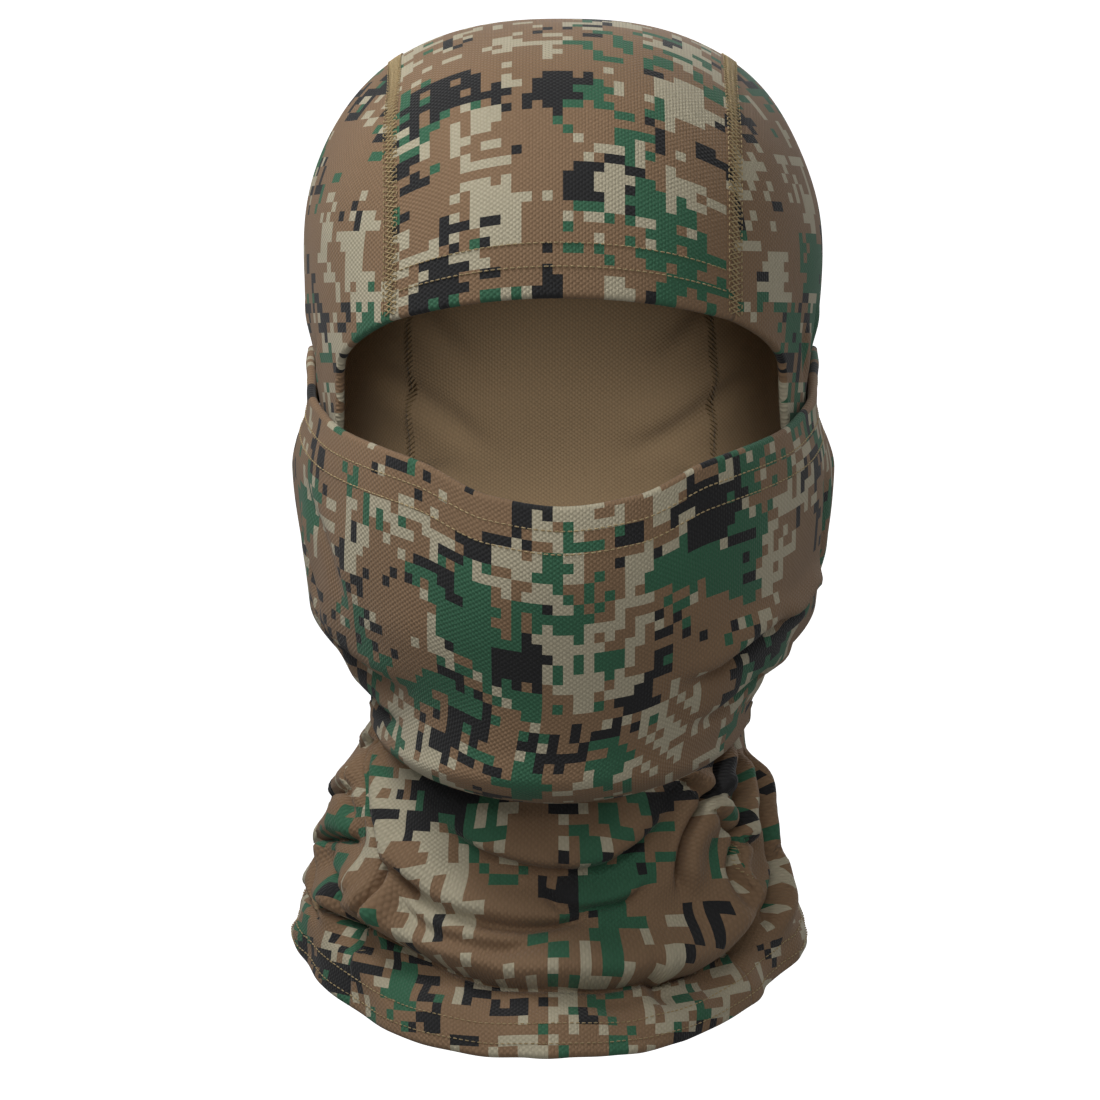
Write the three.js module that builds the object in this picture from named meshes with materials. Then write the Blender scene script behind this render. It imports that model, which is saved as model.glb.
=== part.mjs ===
// A knitted camouflage balaclava in its worn shape: a hood of three panels, a lower-face mask that
// overlaps the hood's cheeks, and a neck tube that flares to the shoulders. Millimetres, +Z up, the
// face looks along -Y, +X is the wearer's left. Heights and drops are measured from the line through
// the ears. At the end the part moves so that the origin is where the crown rests on the head.
import * as THREE from "three";
import { mergeVertices } from "three/addons/utils/BufferGeometryUtils.js";

// Driving sizes of the worn shape.
const CROWN_HEIGHT = 116; // ear line to the top of the hood
const HEAD_HALF_WIDTH = 75.5; // at the ear line, where the mask draws the hood in
const CROWN_SPREAD = 6; // how much fuller each side is above the ears than at the ear line
const CROWN_WIDE_HEIGHT = 62; // level of that fullness
const TEMPLE_SPREAD = 1.5;
const TEMPLE_HEIGHT = 16;
const CROWN_TOP_SPREAD = 2.5;
const HEAD_FRONT = 97; // ear line to the forehead
const HEAD_BACK = 100;
const CHEEK_DROP = 61;
const CHEEK_HALF_WIDTH = 72.5;
const JAW_DROP = 91; // level of the jaw's corners
const JAW_HALF_WIDTH = 56.5;
const NECK_DROP = 99; // level below which the neck widens
const NECK_HALF_WIDTH = 57;
const COLLAR_DROP = 122; // the gathered cloth over the neck
const COLLAR_HALF_WIDTH = 67.5;
const THROAT_FRONT = 70; // ear line to the cloth under the chin
const NECK_FRONT = 66;
const NAPE_DROP = 88;
const NAPE_BACK = 70;
const HEM_HALF_WIDTH = 79.5;
const HEM_FRONT = 87;
const HEM_BACK = 80;
const HEM_SIDE_DROP = 161;
const HEM_TILT = 17; // degrees that the hem dips towards the chest, like the root of a neck

// Mask sizes.
const NOSE_FRONT = 109; // ear line to the cloth over the nose
const NOSE_DROP = 46;
const CHIN_FRONT = 98;
const CHIN_DROP = 100;
const CHIN_FOLD_DROP = 116; // where the mask turns under the chin
const CHIN_POINT = 1.3; // how steeply the mask's lower edge falls towards the chin
const CHIN_TUCK = 26; // how far it turns back under the chin
const FOLD_DEPTH = 9; // height of that turn at the chin
const JAW_FOLD_DEPTH = 2; // and at the jaw's corners
const MASK_EASE = 4; // fullness of the mask over the cheekbones
const MASK_EASE_DROP = 20;
const CHEEK_EASE = 0.8;
const NOSE_EDGE_DROP = 29;
const ANCHOR_HEIGHT = 16; // where the mask's upper corners are sewn in, near the ears
const ANCHOR_ANGLE = 96; // degrees round from the face

// Face opening.
const BROW_HEIGHT = 31;
const BROW_CORNER_HEIGHT = 24.5; // where the brow edge meets the crown seams
const EYE_CORNER_HEIGHT = 3;
const EYE_CORNER_ANGLE = 54;

// Cloth, seams and thread.
const CLOTH = 1.2;
const LAYER_GAP = 0.5; // between cloth layers
const SEAM_GAP = 0.4; // between two panels that meet edge to edge
const THREAD_GAP = 0.3; // between thread and the cloth it lies on
const CROWN_HALF_STRIP = 50; // half the width of the middle panel
const FLATLOCK_WIDTH = 4.5;
const FLATLOCK_THICK = 0.6;
const ALLOWANCE_WIDTH = 8; // the mask's turned-in side edges
const BROW_HEM_WIDTH = 16;
const BROW_ROWS = [8, 14.3]; // stitch rows above the brow edge
const MASK_HEM_WIDTH = 15;
const MASK_ROWS = [6.7, 13.3];
const NECK_HEM_WIDTH = 11;
const NECK_ROWS = [3, 8.6];
const THREAD_WIDTH = 0.8;
const THREAD_THICK = 0.5;
const REST_SINK = 0.6; // the crown is flat this far below its highest point

// Fullness of the sections: 2 is an ellipse.
const ROUND = 2.2; // level sections
const DOME_SIDES = 3.02; // the crown seen from the front
const DOME_PEAK = 0.5; // how much rounder the crown is at its top than at its sides
const DOME_PEAK_LATENESS = 12; // how near the top the crown begins to narrow to its peak
const DOME_PROFILE = 2.5; // and from the side

const DEGREE = Math.PI / 180;
const NECK_SEAM_ANGLE = 50; // front seams on the neck, degrees round from the face
const JAW_ANGLE = 66;

// A smooth curve through [position, value] pairs that never overshoots them.
function profile(knots) {
  const slope = (i) => (knots[i + 1][1] - knots[i][1]) / (knots[i + 1][0] - knots[i][0]);
  const last = knots.length - 1;
  const tangent = knots.map((_, i) => {
    if (i === 0 || i === last) return 0;
    const [before, after] = [slope(i - 1), slope(i)];
    return before * after <= 0 ? 0 : (2 * before * after) / (before + after);
  });
  tangent[last] = slope(last - 1);
  return (at) => {
    const x = THREE.MathUtils.clamp(at, knots[0][0], knots[last][0]);
    let i = 0;
    while (i < last - 1 && x > knots[i + 1][0]) i++;
    const span = knots[i + 1][0] - knots[i][0];
    const t = (x - knots[i][0]) / span;
    const rise = knots[i + 1][1] - knots[i][1];
    const [m0, m1] = [tangent[i] * span, tangent[i + 1] * span];
    return knots[i][1] + t * (m0 + t * (3 * rise - 2 * m0 - m1 + t * (m0 + m1 - 2 * rise)));
  };
}

const { lerp, clamp } = THREE.MathUtils;
const HEM_SLOPE = Math.tan(HEM_TILT * DEGREE);
const HEM_FRONT_DROP = HEM_SIDE_DROP + HEM_FRONT * HEM_SLOPE;
const HEM_BACK_DROP = HEM_SIDE_DROP - HEM_BACK * HEM_SLOPE;

// Level sections below the ear line, as functions of the drop: half width, front and back depth.
const dropWidth = profile([
  [-CROWN_HEIGHT, HEAD_HALF_WIDTH + CROWN_TOP_SPREAD],
  [-CROWN_WIDE_HEIGHT, HEAD_HALF_WIDTH + CROWN_SPREAD],
  [-TEMPLE_HEIGHT, HEAD_HALF_WIDTH + TEMPLE_SPREAD],
  [0, HEAD_HALF_WIDTH],
  [CHEEK_DROP, CHEEK_HALF_WIDTH],
  [JAW_DROP, JAW_HALF_WIDTH],
  [NECK_DROP, NECK_HALF_WIDTH],
  [COLLAR_DROP, COLLAR_HALF_WIDTH],
  [HEM_SIDE_DROP, HEM_HALF_WIDTH],
]);
const dropFront = profile([
  [0, HEAD_FRONT],
  [CHIN_DROP, THROAT_FRONT],
  [lerp(CHIN_DROP, HEM_FRONT_DROP, 0.4), NECK_FRONT],
  [HEM_FRONT_DROP, HEM_FRONT],
]);
const dropBack = profile([
  [0, HEAD_BACK],
  [NAPE_DROP, NAPE_BACK],
  [HEM_BACK_DROP, HEM_BACK],
]);
const dome = (z, fullness) => Math.max(0, 1 - (Math.max(0, z) / CROWN_HEIGHT) ** fullness) ** (1 / fullness);

const crownFullness = (z) => DOME_SIDES - DOME_PEAK * Math.max(0, z / CROWN_HEIGHT) ** DOME_PEAK_LATENESS;

// The hood and neck: half width, front and back depth at height z.
const hood = {
  width: (z) => dropWidth(-z) * dome(z, crownFullness(z)),
  front: (z) => dropFront(-z) * dome(z, DOME_PROFILE),
  back: (z) => dropBack(-z) * dome(z, DOME_PROFILE),
};

// The mask lies outside the hood's cheeks, with room between them for its turned-in edges.
const MASK_STAND_OFF = 2 * CLOTH + 2 * LAYER_GAP + 0.2;
const maskFront = profile([
  [-ANCHOR_HEIGHT, HEAD_FRONT + MASK_STAND_OFF],
  [NOSE_DROP, NOSE_FRONT],
  [CHIN_DROP, CHIN_FRONT],
]);
const maskEase = profile([
  [-ANCHOR_HEIGHT, 0],
  [0, 0],
  [MASK_EASE_DROP, MASK_EASE],
  [CHEEK_DROP, CHEEK_EASE],
  [JAW_DROP, 0],
]);
const mask = {
  width: (z) => hood.width(z) + MASK_STAND_OFF + maskEase(-z),
  front: (z) => maskFront(-z),
  back: (z) => hood.back(z) + MASK_STAND_OFF + maskEase(-z),
};

// A point of a body's section at an angle round from the face, in degrees, and a height.
function onSection(body, angle, z) {
  const [side, ahead] = [Math.sin(angle * DEGREE), Math.cos(angle * DEGREE)];
  const depth = ahead > 0 ? body.front(z) : body.back(z);
  const size = Math.pow(Math.abs(side) / body.width(z), ROUND) + Math.pow(Math.abs(ahead) / depth, ROUND);
  const reach = Math.pow(size, -1 / ROUND);
  return new THREE.Vector3(reach * side, -reach * ahead, z);
}

// How far a point lies outside a body: 0 on it, negative inside.
function outside(body, p) {
  const depth = p.y < 0 ? body.front(p.z) : body.back(p.z);
  const size = Math.pow(Math.abs(p.x) / body.width(p.z), ROUND) + Math.pow(Math.abs(p.y) / depth, ROUND);
  return Math.pow(size, 1 / ROUND) - 1;
}

// A point of the hood at side distance x, at an angle in degrees that turns about the ear line from
// the face (0) over the top (90) to the back (180), found by halving.
function onCrown(x, turn) {
  const [ahead, up] = [Math.cos(turn * DEGREE), Math.sin(turn * DEGREE)];
  let [near, far] = [0, 2 * CROWN_HEIGHT];
  for (let i = 0; i < 40; i++) {
    const reach = (near + far) / 2;
    const z = Math.min(reach * up, CROWN_HEIGHT * 0.99999);
    const beyond = reach * up >= CROWN_HEIGHT || outside(hood, new THREE.Vector3(x, -reach * ahead, z)) > 0;
    if (beyond) far = reach;
    else near = reach;
  }
  return new THREE.Vector3(x, -near * ahead, near * up);
}

// The outward normal of a body at one of its points.
function normalAt(body, p) {
  const step = 0.05;
  const slope = (axis) => {
    const [ahead, behind] = [p.clone(), p.clone()];
    ahead[axis] += step;
    behind[axis] -= step;
    return outside(body, ahead) - outside(body, behind);
  };
  const top = p.z > CROWN_HEIGHT - 3 * step;
  return top ? new THREE.Vector3(0, 0, 1) : new THREE.Vector3(slope("x"), slope("y"), slope("z")).normalize();
}

// The points at two depths below a body's surface: a negative depth stands proud of it. The crown is
// flat on top, so that it has a level place to rest on the head.
const layer = (body, p, ...depths) => {
  const normal = normalAt(body, p);
  return depths.map((depth) => {
    const q = p.clone().addScaledVector(normal, -depth);
    q.z = Math.min(q.z, CROWN_HEIGHT - REST_SINK - depth);
    return q;
  });
};

// A closed solid between two sheets. sheetsAt(u, v) gives the outer and the inner point, u and v from 0 to 1.
function solidSheet(columns, rows, sheetsAt, ring = false) {
  const positions = [];
  for (let j = 0; j <= rows; j++)
    for (let i = 0; i <= columns; i++) {
      const [outer, inner] = sheetsAt(ring && i === columns ? 0 : i / columns, j / rows);
      positions.push(...outer.toArray(), ...inner.toArray());
    }
  const at = (i, j, inner) => 2 * (j * (columns + 1) + i) + inner;
  const faces = [];
  const quad = (a, b, c, d) => faces.push([a, b, c], [a, c, d]);
  for (let j = 0; j < rows; j++)
    for (let i = 0; i < columns; i++) {
      quad(at(i, j, 0), at(i + 1, j, 0), at(i + 1, j + 1, 0), at(i, j + 1, 0));
      quad(at(i, j, 1), at(i, j + 1, 1), at(i + 1, j + 1, 1), at(i + 1, j, 1));
    }
  for (let i = 0; i < columns; i++) {
    quad(at(i, 0, 1), at(i + 1, 0, 1), at(i + 1, 0, 0), at(i, 0, 0));
    quad(at(i, rows, 0), at(i + 1, rows, 0), at(i + 1, rows, 1), at(i, rows, 1));
  }
  for (let j = 0; j < rows && !ring; j++) {
    quad(at(0, j, 0), at(0, j + 1, 0), at(0, j + 1, 1), at(0, j, 1));
    quad(at(columns, j, 1), at(columns, j + 1, 1), at(columns, j + 1, 0), at(columns, j, 0));
  }
  return closed(positions, faces);
}

// Merges the corners, drops the faces that a pointed patch closes up, and turns the faces outwards.
function closed(positions, faces) {
  const raw = new THREE.BufferGeometry();
  raw.setAttribute("position", new THREE.Float32BufferAttribute(positions, 3));
  raw.setIndex(faces.flat());
  const geometry = mergeVertices(raw, 1e-3);
  const index = geometry.index.array;
  const kept = [];
  for (let i = 0; i < index.length; i += 3) {
    const [a, b, c] = index.slice(i, i + 3);
    if (a !== b && b !== c && c !== a) kept.push([a, b, c]);
  }
  const corner = (i) => new THREE.Vector3().fromBufferAttribute(geometry.attributes.position, i);
  const volume = kept.reduce((sum, [a, b, c]) => sum + corner(a).dot(corner(b).cross(corner(c))), 0);
  geometry.setIndex(volume > 0 ? kept.flat() : kept.map(([a, b, c]) => [a, c, b]).flat());
  geometry.computeVertexNormals();
  return geometry;
}

// The hem lies in one sloping plane: its height at an angle round from the face.
function hemAt(angle) {
  let z = -HEM_SIDE_DROP;
  for (let i = 0; i < 15; i++) z = -HEM_SIDE_DROP + onSection(hood, angle, z).y * HEM_SLOPE;
  return z;
}

// The mask's upper edge climbs from the nose over the cheeks to the ears.
const maskTopShare = profile([
  [0, 0],
  [0.12, 0.07],
  [0.25, 0.28],
  [0.5, 0.5],
  [0.72, 0.71],
  [0.88, 0.89],
  [1, 1],
]);
const maskTop = (angle) => lerp(-NOSE_EDGE_DROP, ANCHOR_HEIGHT, maskTopShare(Math.abs(angle) / ANCHOR_ANGLE));
const browAt = (x) => lerp(BROW_HEIGHT, BROW_CORNER_HEIGHT, (x / CROWN_HALF_STRIP) ** 2);

// The angle round from the face of the hood's point at side distance x and height z, in front or behind.
function angleOf(x, z, behind = false) {
  const depth = behind ? hood.back(z) : hood.front(z);
  const share = Math.max(0, 1 - Math.pow(Math.abs(x) / hood.width(z), ROUND));
  const y = depth * Math.pow(share, 1 / ROUND);
  return (Math.sign(x) * Math.atan2(Math.abs(x), behind ? -y : y)) / DEGREE;
}

// The neck seam, from the jaw's corner down to the hem: an angle and a height for t from 0 to 1.
const MASK_NECK_GAP = 3; // between the mask's turned edge and the neck's front
const SEAM_TOP = -JAW_DROP - MASK_NECK_GAP;
const neckSeamAngle = profile([
  [0, JAW_ANGLE],
  [0.35, NECK_SEAM_ANGLE + 3],
  [1, NECK_SEAM_ANGLE],
]);
const neckSeamHeight = (t) => lerp(SEAM_TOP, hemAt(NECK_SEAM_ANGLE), t);

// The side panel's front edge: down the face opening, back under the mask, then down the neck seam.
const NECK_SHARE = 0.7; // the part of the edge above the jaw's corner
const CORNER_ANGLE = angleOf(CROWN_HALF_STRIP, BROW_CORNER_HEIGHT);
const EDGE_KNOTS = [
  [0, CORNER_ANGLE, BROW_CORNER_HEIGHT],
  [0.15, lerp(CORNER_ANGLE, EYE_CORNER_ANGLE, 0.85), lerp(BROW_CORNER_HEIGHT, EYE_CORNER_HEIGHT, 0.6)],
  [0.3, EYE_CORNER_ANGLE, EYE_CORNER_HEIGHT - 8],
  [0.55, JAW_ANGLE + 6, lerp(-CHEEK_DROP, -JAW_DROP, 0.3)],
  [NECK_SHARE, JAW_ANGLE, SEAM_TOP],
];
const edgeAngle = profile(EDGE_KNOTS.map(([q, angle]) => [q, angle]));
const edgeHeight = profile(EDGE_KNOTS.map(([q, , z]) => [q, z]));
const neckPart = (v) => (v - NECK_SHARE) / (1 - NECK_SHARE);
const frontAngle = (v) => (v < NECK_SHARE ? edgeAngle(v) : neckSeamAngle(neckPart(v)));
const frontHeight = (v) => (v < NECK_SHARE ? edgeHeight(v) : neckSeamHeight(neckPart(v)));

// The mask's side edge, from the ear to the jaw's corner, as an angle over the share of its height.
const maskSide = profile([
  [0, ANCHOR_ANGLE],
  [0.35, ANCHOR_ANGLE - 2],
  [0.7, lerp(ANCHOR_ANGLE, JAW_ANGLE, 0.35)],
  [1, JAW_ANGLE],
]);

// The crown seam: over the top about the ear line, then down the nape to the hem, where the strip
// narrows and widens with the neck.
const OVER_SHARE = 0.6; // the part of a panel's length that lies above the ear line
const browTurn = (x) => {
  const z = browAt(x);
  const p = onSection(hood, angleOf(x, z), z);
  return Math.atan2(p.z, -p.y) / DEGREE;
};
function crownPoint(x, v) {
  if (v <= OVER_SHARE) return onCrown(x, lerp(browTurn(x), 180, v / OVER_SHARE));
  const down = (v - OVER_SHARE) / (1 - OVER_SHARE);
  const napeAngle = (z) => angleOf((x * hood.width(z)) / HEAD_HALF_WIDTH, z, true) || 180;
  const z = lerp(0, hemAt(napeAngle(-HEM_BACK_DROP)), down);
  return onSection(hood, napeAngle(z), z);
}

// A material for each finish.
const finish = (color, roughness = 0.9) => new THREE.MeshStandardMaterial({ color, roughness, metalness: 0 });
const CAMO_CLOTH = finish(0x80634a);
const CLOTH_REVERSE = finish(0x5a4a35);
const KHAKI_THREAD = finish(0xb39b6e, 0.7);

const balaclava = new THREE.Group();
function add(name, geometry, material) {
  const mesh = new THREE.Mesh(geometry, material);
  mesh.name = name;
  balaclava.add(mesh);
}

const SIDES = [
  ["left", 1],
  ["right", -1],
];
const PANEL_ROWS = 40; // along the crown seams, shared by the panels that meet there
const NECK_PANEL_ROWS = Math.round(PANEL_ROWS * (1 - NECK_SHARE));
const FLATLOCK = [-THREAD_GAP - FLATLOCK_THICK, -THREAD_GAP];
const ROW_OF_THREAD = [-THREAD_GAP - THREAD_THICK, -THREAD_GAP];
const TURNED_IN = [CLOTH + LAYER_GAP, 2 * CLOTH + LAYER_GAP];

// The middle panel: brow, crown, nape and the back of the neck in one strip.
const halfStrip = CROWN_HALF_STRIP - SEAM_GAP / 2;
add(
  "crown_panel",
  solidSheet(10, PANEL_ROWS, (u, v) => layer(hood, crownPoint(lerp(-halfStrip, halfStrip, u), v), 0, CLOTH)),
  CAMO_CLOTH,
);

// A side panel: a fan that opens from the brow's corner, round the ear, down to the hem.
function sidePoint(side, u, v) {
  const end = crownPoint(CROWN_HALF_STRIP + SEAM_GAP / 2, v);
  if (u === 1) return new THREE.Vector3(side * end.x, end.y, end.z);
  const endAngle = Math.atan2(end.x, -end.y) / DEGREE;
  const angle = lerp(frontAngle(v), endAngle, u);
  const settle = v > OVER_SHARE ? ((v - OVER_SHARE) / (1 - OVER_SHARE)) ** 2 : 0;
  const sag = hemAt(angle) - lerp(hemAt(frontAngle(v)), hemAt(endAngle), u);
  return onSection(hood, side * angle, lerp(frontHeight(v), end.z, u) + sag * settle);
}
for (const [name, side] of SIDES)
  add(
    `${name}_side_panel`,
    solidSheet(14, PANEL_ROWS, (u, v) => layer(hood, sidePoint(side, u, v), 0, CLOTH)),
    CAMO_CLOTH,
  );

// The mask: from its upper edge, over nose and cheeks, to where it turns under the chin.
const TURN_SHARE = 0.16; // the last part of the mask's height turns under
const chinShare = (angle) => Math.cos(clamp(angle / JAW_ANGLE, -1, 1) * 90 * DEGREE);
const maskBottom = (angle) => lerp(-JAW_DROP, -CHIN_FOLD_DROP, chinShare(angle) ** CHIN_POINT);
const foldDepth = (angle) => lerp(JAW_FOLD_DEPTH, FOLD_DEPTH, chinShare(angle));
function maskPoint(u, v) {
  const across = lerp(-1, 1, u);
  const topEdge = maskTop(across * ANCHOR_ANGLE);
  const bottomEdge = maskBottom(across * JAW_ANGLE);
  const fold = foldDepth(across * JAW_ANGLE);
  const turn = Math.max(0, (v - 1 + TURN_SHARE) / TURN_SHARE) * 90 * DEGREE;
  const z = lerp(topEdge, bottomEdge + fold, Math.min(1, v / (1 - TURN_SHARE)));
  const p = onSection(mask, across * maskSide(v), z);
  const tuck = CHIN_TUCK * chinShare(across * JAW_ANGLE) ** 2 * (1 - Math.cos(turn));
  const reach = Math.hypot(p.x, p.y);
  const drawnIn = (reach - tuck) / reach;
  return new THREE.Vector3(p.x * drawnIn, p.y * drawnIn, z - fold * Math.sin(turn));
}

// Points below the mask's surface, along the normal that its own points give.
function maskLayer(u, v, ...depths) {
  const step = 0.004;
  const [left, right] = [Math.max(0, u - step), Math.min(1, u + step)];
  const [above, below] = [Math.max(0, v - step), Math.min(1, v + step)];
  const along = maskPoint(right, v).sub(maskPoint(left, v));
  const down = maskPoint(u, below).sub(maskPoint(u, above));
  const normal = down.cross(along).normalize();
  return depths.map((depth) => maskPoint(u, v).addScaledVector(normal, -depth));
}
const MASK_COLUMNS = 40;
const MASK_ROWS_DOWN = 30;
add(
  "face_mask_panel",
  solidSheet(MASK_COLUMNS, MASK_ROWS_DOWN, (u, v) => maskLayer(u, v, 0, CLOTH)),
  CAMO_CLOTH,
);

// The share of the mask's height at a distance below its upper edge.
const belowEdge = (u, distance) => {
  const across = lerp(-1, 1, u);
  const jaw = across * JAW_ANGLE;
  const height = maskTop(across * ANCHOR_ANGLE) - maskBottom(jaw) - foldDepth(jaw);
  return ((1 - TURN_SHARE) * distance) / height;
};
const maskStrip = (near, far, end, columns, rows, depths) =>
  solidSheet(columns, rows, (u, v) => {
    const across = lerp(end, 1 - end, u);
    return maskLayer(across, belowEdge(across, lerp(near, far, v)), ...depths);
  });
const threadRow = (at) => [at - THREAD_WIDTH / 2, at + THREAD_WIDTH / 2];
const SIDE_TURN = 0.05; // share of the mask's width that its side edges take
add("mask_hem_fold", maskStrip(0.4, MASK_HEM_WIDTH, SIDE_TURN, MASK_COLUMNS, 4, TURNED_IN), CLOTH_REVERSE);
add("mask_stitch_upper", maskStrip(...threadRow(MASK_ROWS[0]), 0.01, 60, 1, ROW_OF_THREAD), KHAKI_THREAD);
add("mask_stitch_lower", maskStrip(...threadRow(MASK_ROWS[1]), 0.01, 60, 1, ROW_OF_THREAD), KHAKI_THREAD);

// The mask's side edges are turned in and sewn to the hood's cheeks.
for (const [name, side] of SIDES)
  add(
    `${name}_mask_seam`,
    solidSheet(1, 14, (u, v) => {
      const down = lerp(0.02, 1 - TURN_SHARE, v);
      const inset = lerp(0.4, ALLOWANCE_WIDTH, u) / (2 * HEAD_HALF_WIDTH * ANCHOR_ANGLE * DEGREE);
      return maskLayer(side > 0 ? 1 - inset : inset, down, ...TURNED_IN);
    }),
    CLOTH_REVERSE,
  );

// The front of the neck: from behind the mask's turned edge down to the hem, between the neck seams.
const EDGE_STEP = SEAM_GAP / NECK_HALF_WIDTH / DEGREE;
add(
  "neck_front_panel",
  solidSheet(18, NECK_PANEL_ROWS, (u, v) => {
    const across = lerp(-1, 1, u);
    const angle = across * (neckSeamAngle(v) - EDGE_STEP);
    const top = lerp(SEAM_TOP, -CHIN_FOLD_DROP - MASK_NECK_GAP, chinShare(across * JAW_ANGLE) ** CHIN_POINT);
    const sag = hemAt(angle) - hemAt(NECK_SEAM_ANGLE);
    const z = lerp(top, hemAt(NECK_SEAM_ANGLE), v) + sag * v;
    return layer(hood, onSection(hood, angle, z), 0, CLOTH);
  }),
  CAMO_CLOTH,
);

// Flatlocked seams: wide bands of thread on the outside, over the joint between two panels.
for (const [name, side] of SIDES) {
  add(
    `${name}_crown_seam`,
    solidSheet(2, PANEL_ROWS, (u, v) => {
      const x = side * (CROWN_HALF_STRIP + (u - 0.5) * FLATLOCK_WIDTH);
      return layer(hood, crownPoint(x, lerp(0.002, 0.998, v)), ...FLATLOCK);
    }),
    KHAKI_THREAD,
  );
  add(
    `${name}_neck_seam`,
    solidSheet(2, NECK_PANEL_ROWS, (u, v) => {
      const t = lerp(0.06, 0.98, v);
      const angle = neckSeamAngle(t) + ((u - 0.5) * FLATLOCK_WIDTH) / NECK_HALF_WIDTH / DEGREE;
      return layer(hood, onSection(hood, side * angle, neckSeamHeight(t)), ...FLATLOCK);
    }),
    KHAKI_THREAD,
  );
}

// The brow hem: the crown panel's front edge turned in, and its two rows of stitches.
const browStrip = (near, far, half, columns, depths) =>
  solidSheet(columns, 1, (u, v) => {
    const x = lerp(-half, half, u);
    const back = lerp(near, far, v) / HEAD_FRONT / DEGREE;
    return layer(hood, onCrown(x, browTurn(x) + back), ...depths);
  });
const rowHalf = CROWN_HALF_STRIP - FLATLOCK_WIDTH / 2 - SEAM_GAP;
add("brow_hem_fold", browStrip(0.4, BROW_HEM_WIDTH, halfStrip - 0.4, 14, TURNED_IN), CLOTH_REVERSE);
add("brow_stitch_lower", browStrip(...threadRow(BROW_ROWS[0]), rowHalf, 20, ROW_OF_THREAD), KHAKI_THREAD);
add("brow_stitch_upper", browStrip(...threadRow(BROW_ROWS[1]), rowHalf, 20, ROW_OF_THREAD), KHAKI_THREAD);

// The neck hem: the bottom edge turned in all round, and its two rows of stitches.
const hemRing = (near, far, columns, depths) =>
  solidSheet(
    columns,
    1,
    (u, v) => {
      const angle = lerp(-180, 180, u);
      return layer(hood, onSection(hood, angle, hemAt(angle) + lerp(near, far, v)), ...depths);
    },
    true,
  );
add("neck_hem_fold", hemRing(0.4, NECK_HEM_WIDTH, 60, TURNED_IN), CLOTH_REVERSE);
// over the seams' bands
const HEM_ROW_OF_THREAD = ROW_OF_THREAD.map((depth) => depth - THREAD_GAP - FLATLOCK_THICK);
add("neck_stitch_lower", hemRing(...threadRow(NECK_ROWS[0]), 72, HEM_ROW_OF_THREAD), KHAKI_THREAD);
add("neck_stitch_upper", hemRing(...threadRow(NECK_ROWS[1]), 72, HEM_ROW_OF_THREAD), KHAKI_THREAD);

balaclava.position.z = REST_SINK + CLOTH - CROWN_HEIGHT;
export default balaclava;
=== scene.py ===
import math

import bpy
import mathutils
import numpy as np
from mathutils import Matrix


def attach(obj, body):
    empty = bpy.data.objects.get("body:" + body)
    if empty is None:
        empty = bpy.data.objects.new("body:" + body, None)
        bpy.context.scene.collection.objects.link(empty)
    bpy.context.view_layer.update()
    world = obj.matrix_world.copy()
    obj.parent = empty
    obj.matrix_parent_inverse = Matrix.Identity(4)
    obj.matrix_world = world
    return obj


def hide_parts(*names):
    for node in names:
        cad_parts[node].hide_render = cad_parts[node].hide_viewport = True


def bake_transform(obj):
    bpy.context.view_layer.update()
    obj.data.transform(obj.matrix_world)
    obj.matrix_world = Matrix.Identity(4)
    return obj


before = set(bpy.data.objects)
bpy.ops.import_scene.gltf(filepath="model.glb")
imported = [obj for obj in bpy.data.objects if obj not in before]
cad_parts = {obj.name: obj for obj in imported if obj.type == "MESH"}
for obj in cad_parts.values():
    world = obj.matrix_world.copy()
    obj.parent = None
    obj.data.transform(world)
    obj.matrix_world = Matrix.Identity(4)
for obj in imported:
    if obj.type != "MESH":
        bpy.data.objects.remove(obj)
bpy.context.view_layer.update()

scene = bpy.context.scene
scene.view_settings.view_transform = "Standard"


# ---- worn shape, millimetres; heights are measured from the line through the ears
CROWN_HEIGHT = 116.0
HEAD_HALF_WIDTH, CROWN_HALF_WIDTH, CROWN_WIDE_HEIGHT = 75.5, 81.5, 62.0
TEMPLE_HALF_WIDTH, TEMPLE_HEIGHT, CROWN_TOP_HALF_WIDTH = 77.0, 16.0, 78.0
HEAD_FRONT, HEAD_BACK = 97.0, 100.0
CHEEK_DROP, CHEEK_HALF_WIDTH = 61.0, 72.5
JAW_DROP, JAW_HALF_WIDTH = 91.0, 56.5
NECK_DROP, NECK_HALF_WIDTH = 99.0, 57.0
COLLAR_DROP, COLLAR_HALF_WIDTH = 122.0, 67.5
MASK_EASE, MASK_EASE_DROP, CHEEK_EASE = 4.0, 20.0, 0.8
THROAT_FRONT, NECK_FRONT = 70.0, 66.0
NAPE_DROP, NAPE_BACK = 88.0, 70.0
HEM_HALF_WIDTH, HEM_FRONT, HEM_BACK = 79.5, 87.0, 80.0
HEM_SIDE_DROP = 161.0
HEM_SLOPE = math.tan(math.radians(17))
NOSE_FRONT, NOSE_DROP = 109.0, 46.0
CHIN_FRONT, CHIN_DROP, CHIN_FOLD_DROP, CHIN_TUCK = 98.0, 100.0, 116.0, 26.0
FOLD_DEPTH, JAW_FOLD_DEPTH = 9.0, 2.0
NOSE_EDGE_DROP, ANCHOR_HEIGHT, ANCHOR_ANGLE = 29.0, 16.0, 96.0
BROW_HEIGHT, BROW_CORNER_HEIGHT = 31.0, 24.5
EYE_CORNER_HEIGHT, EYE_CORNER_ANGLE = 3.0, 54.0
CLOTH, LAYER_GAP = 1.2, 0.5
ALLOWANCE, FLATLOCK = 8.0, 4.5
BROW_HEM, MASK_HEM, NECK_HEM, OPENING_TURN = 16.0, 15.0, 11.0, 8.0
BROW_ROWS, MASK_ROWS, NECK_ROWS = (8.0, 14.3), (6.7, 13.3), (3.0, 8.6)
MASK_NECK_GAP = 3.0
CROWN_HALF_STRIP = 50.0
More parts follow.
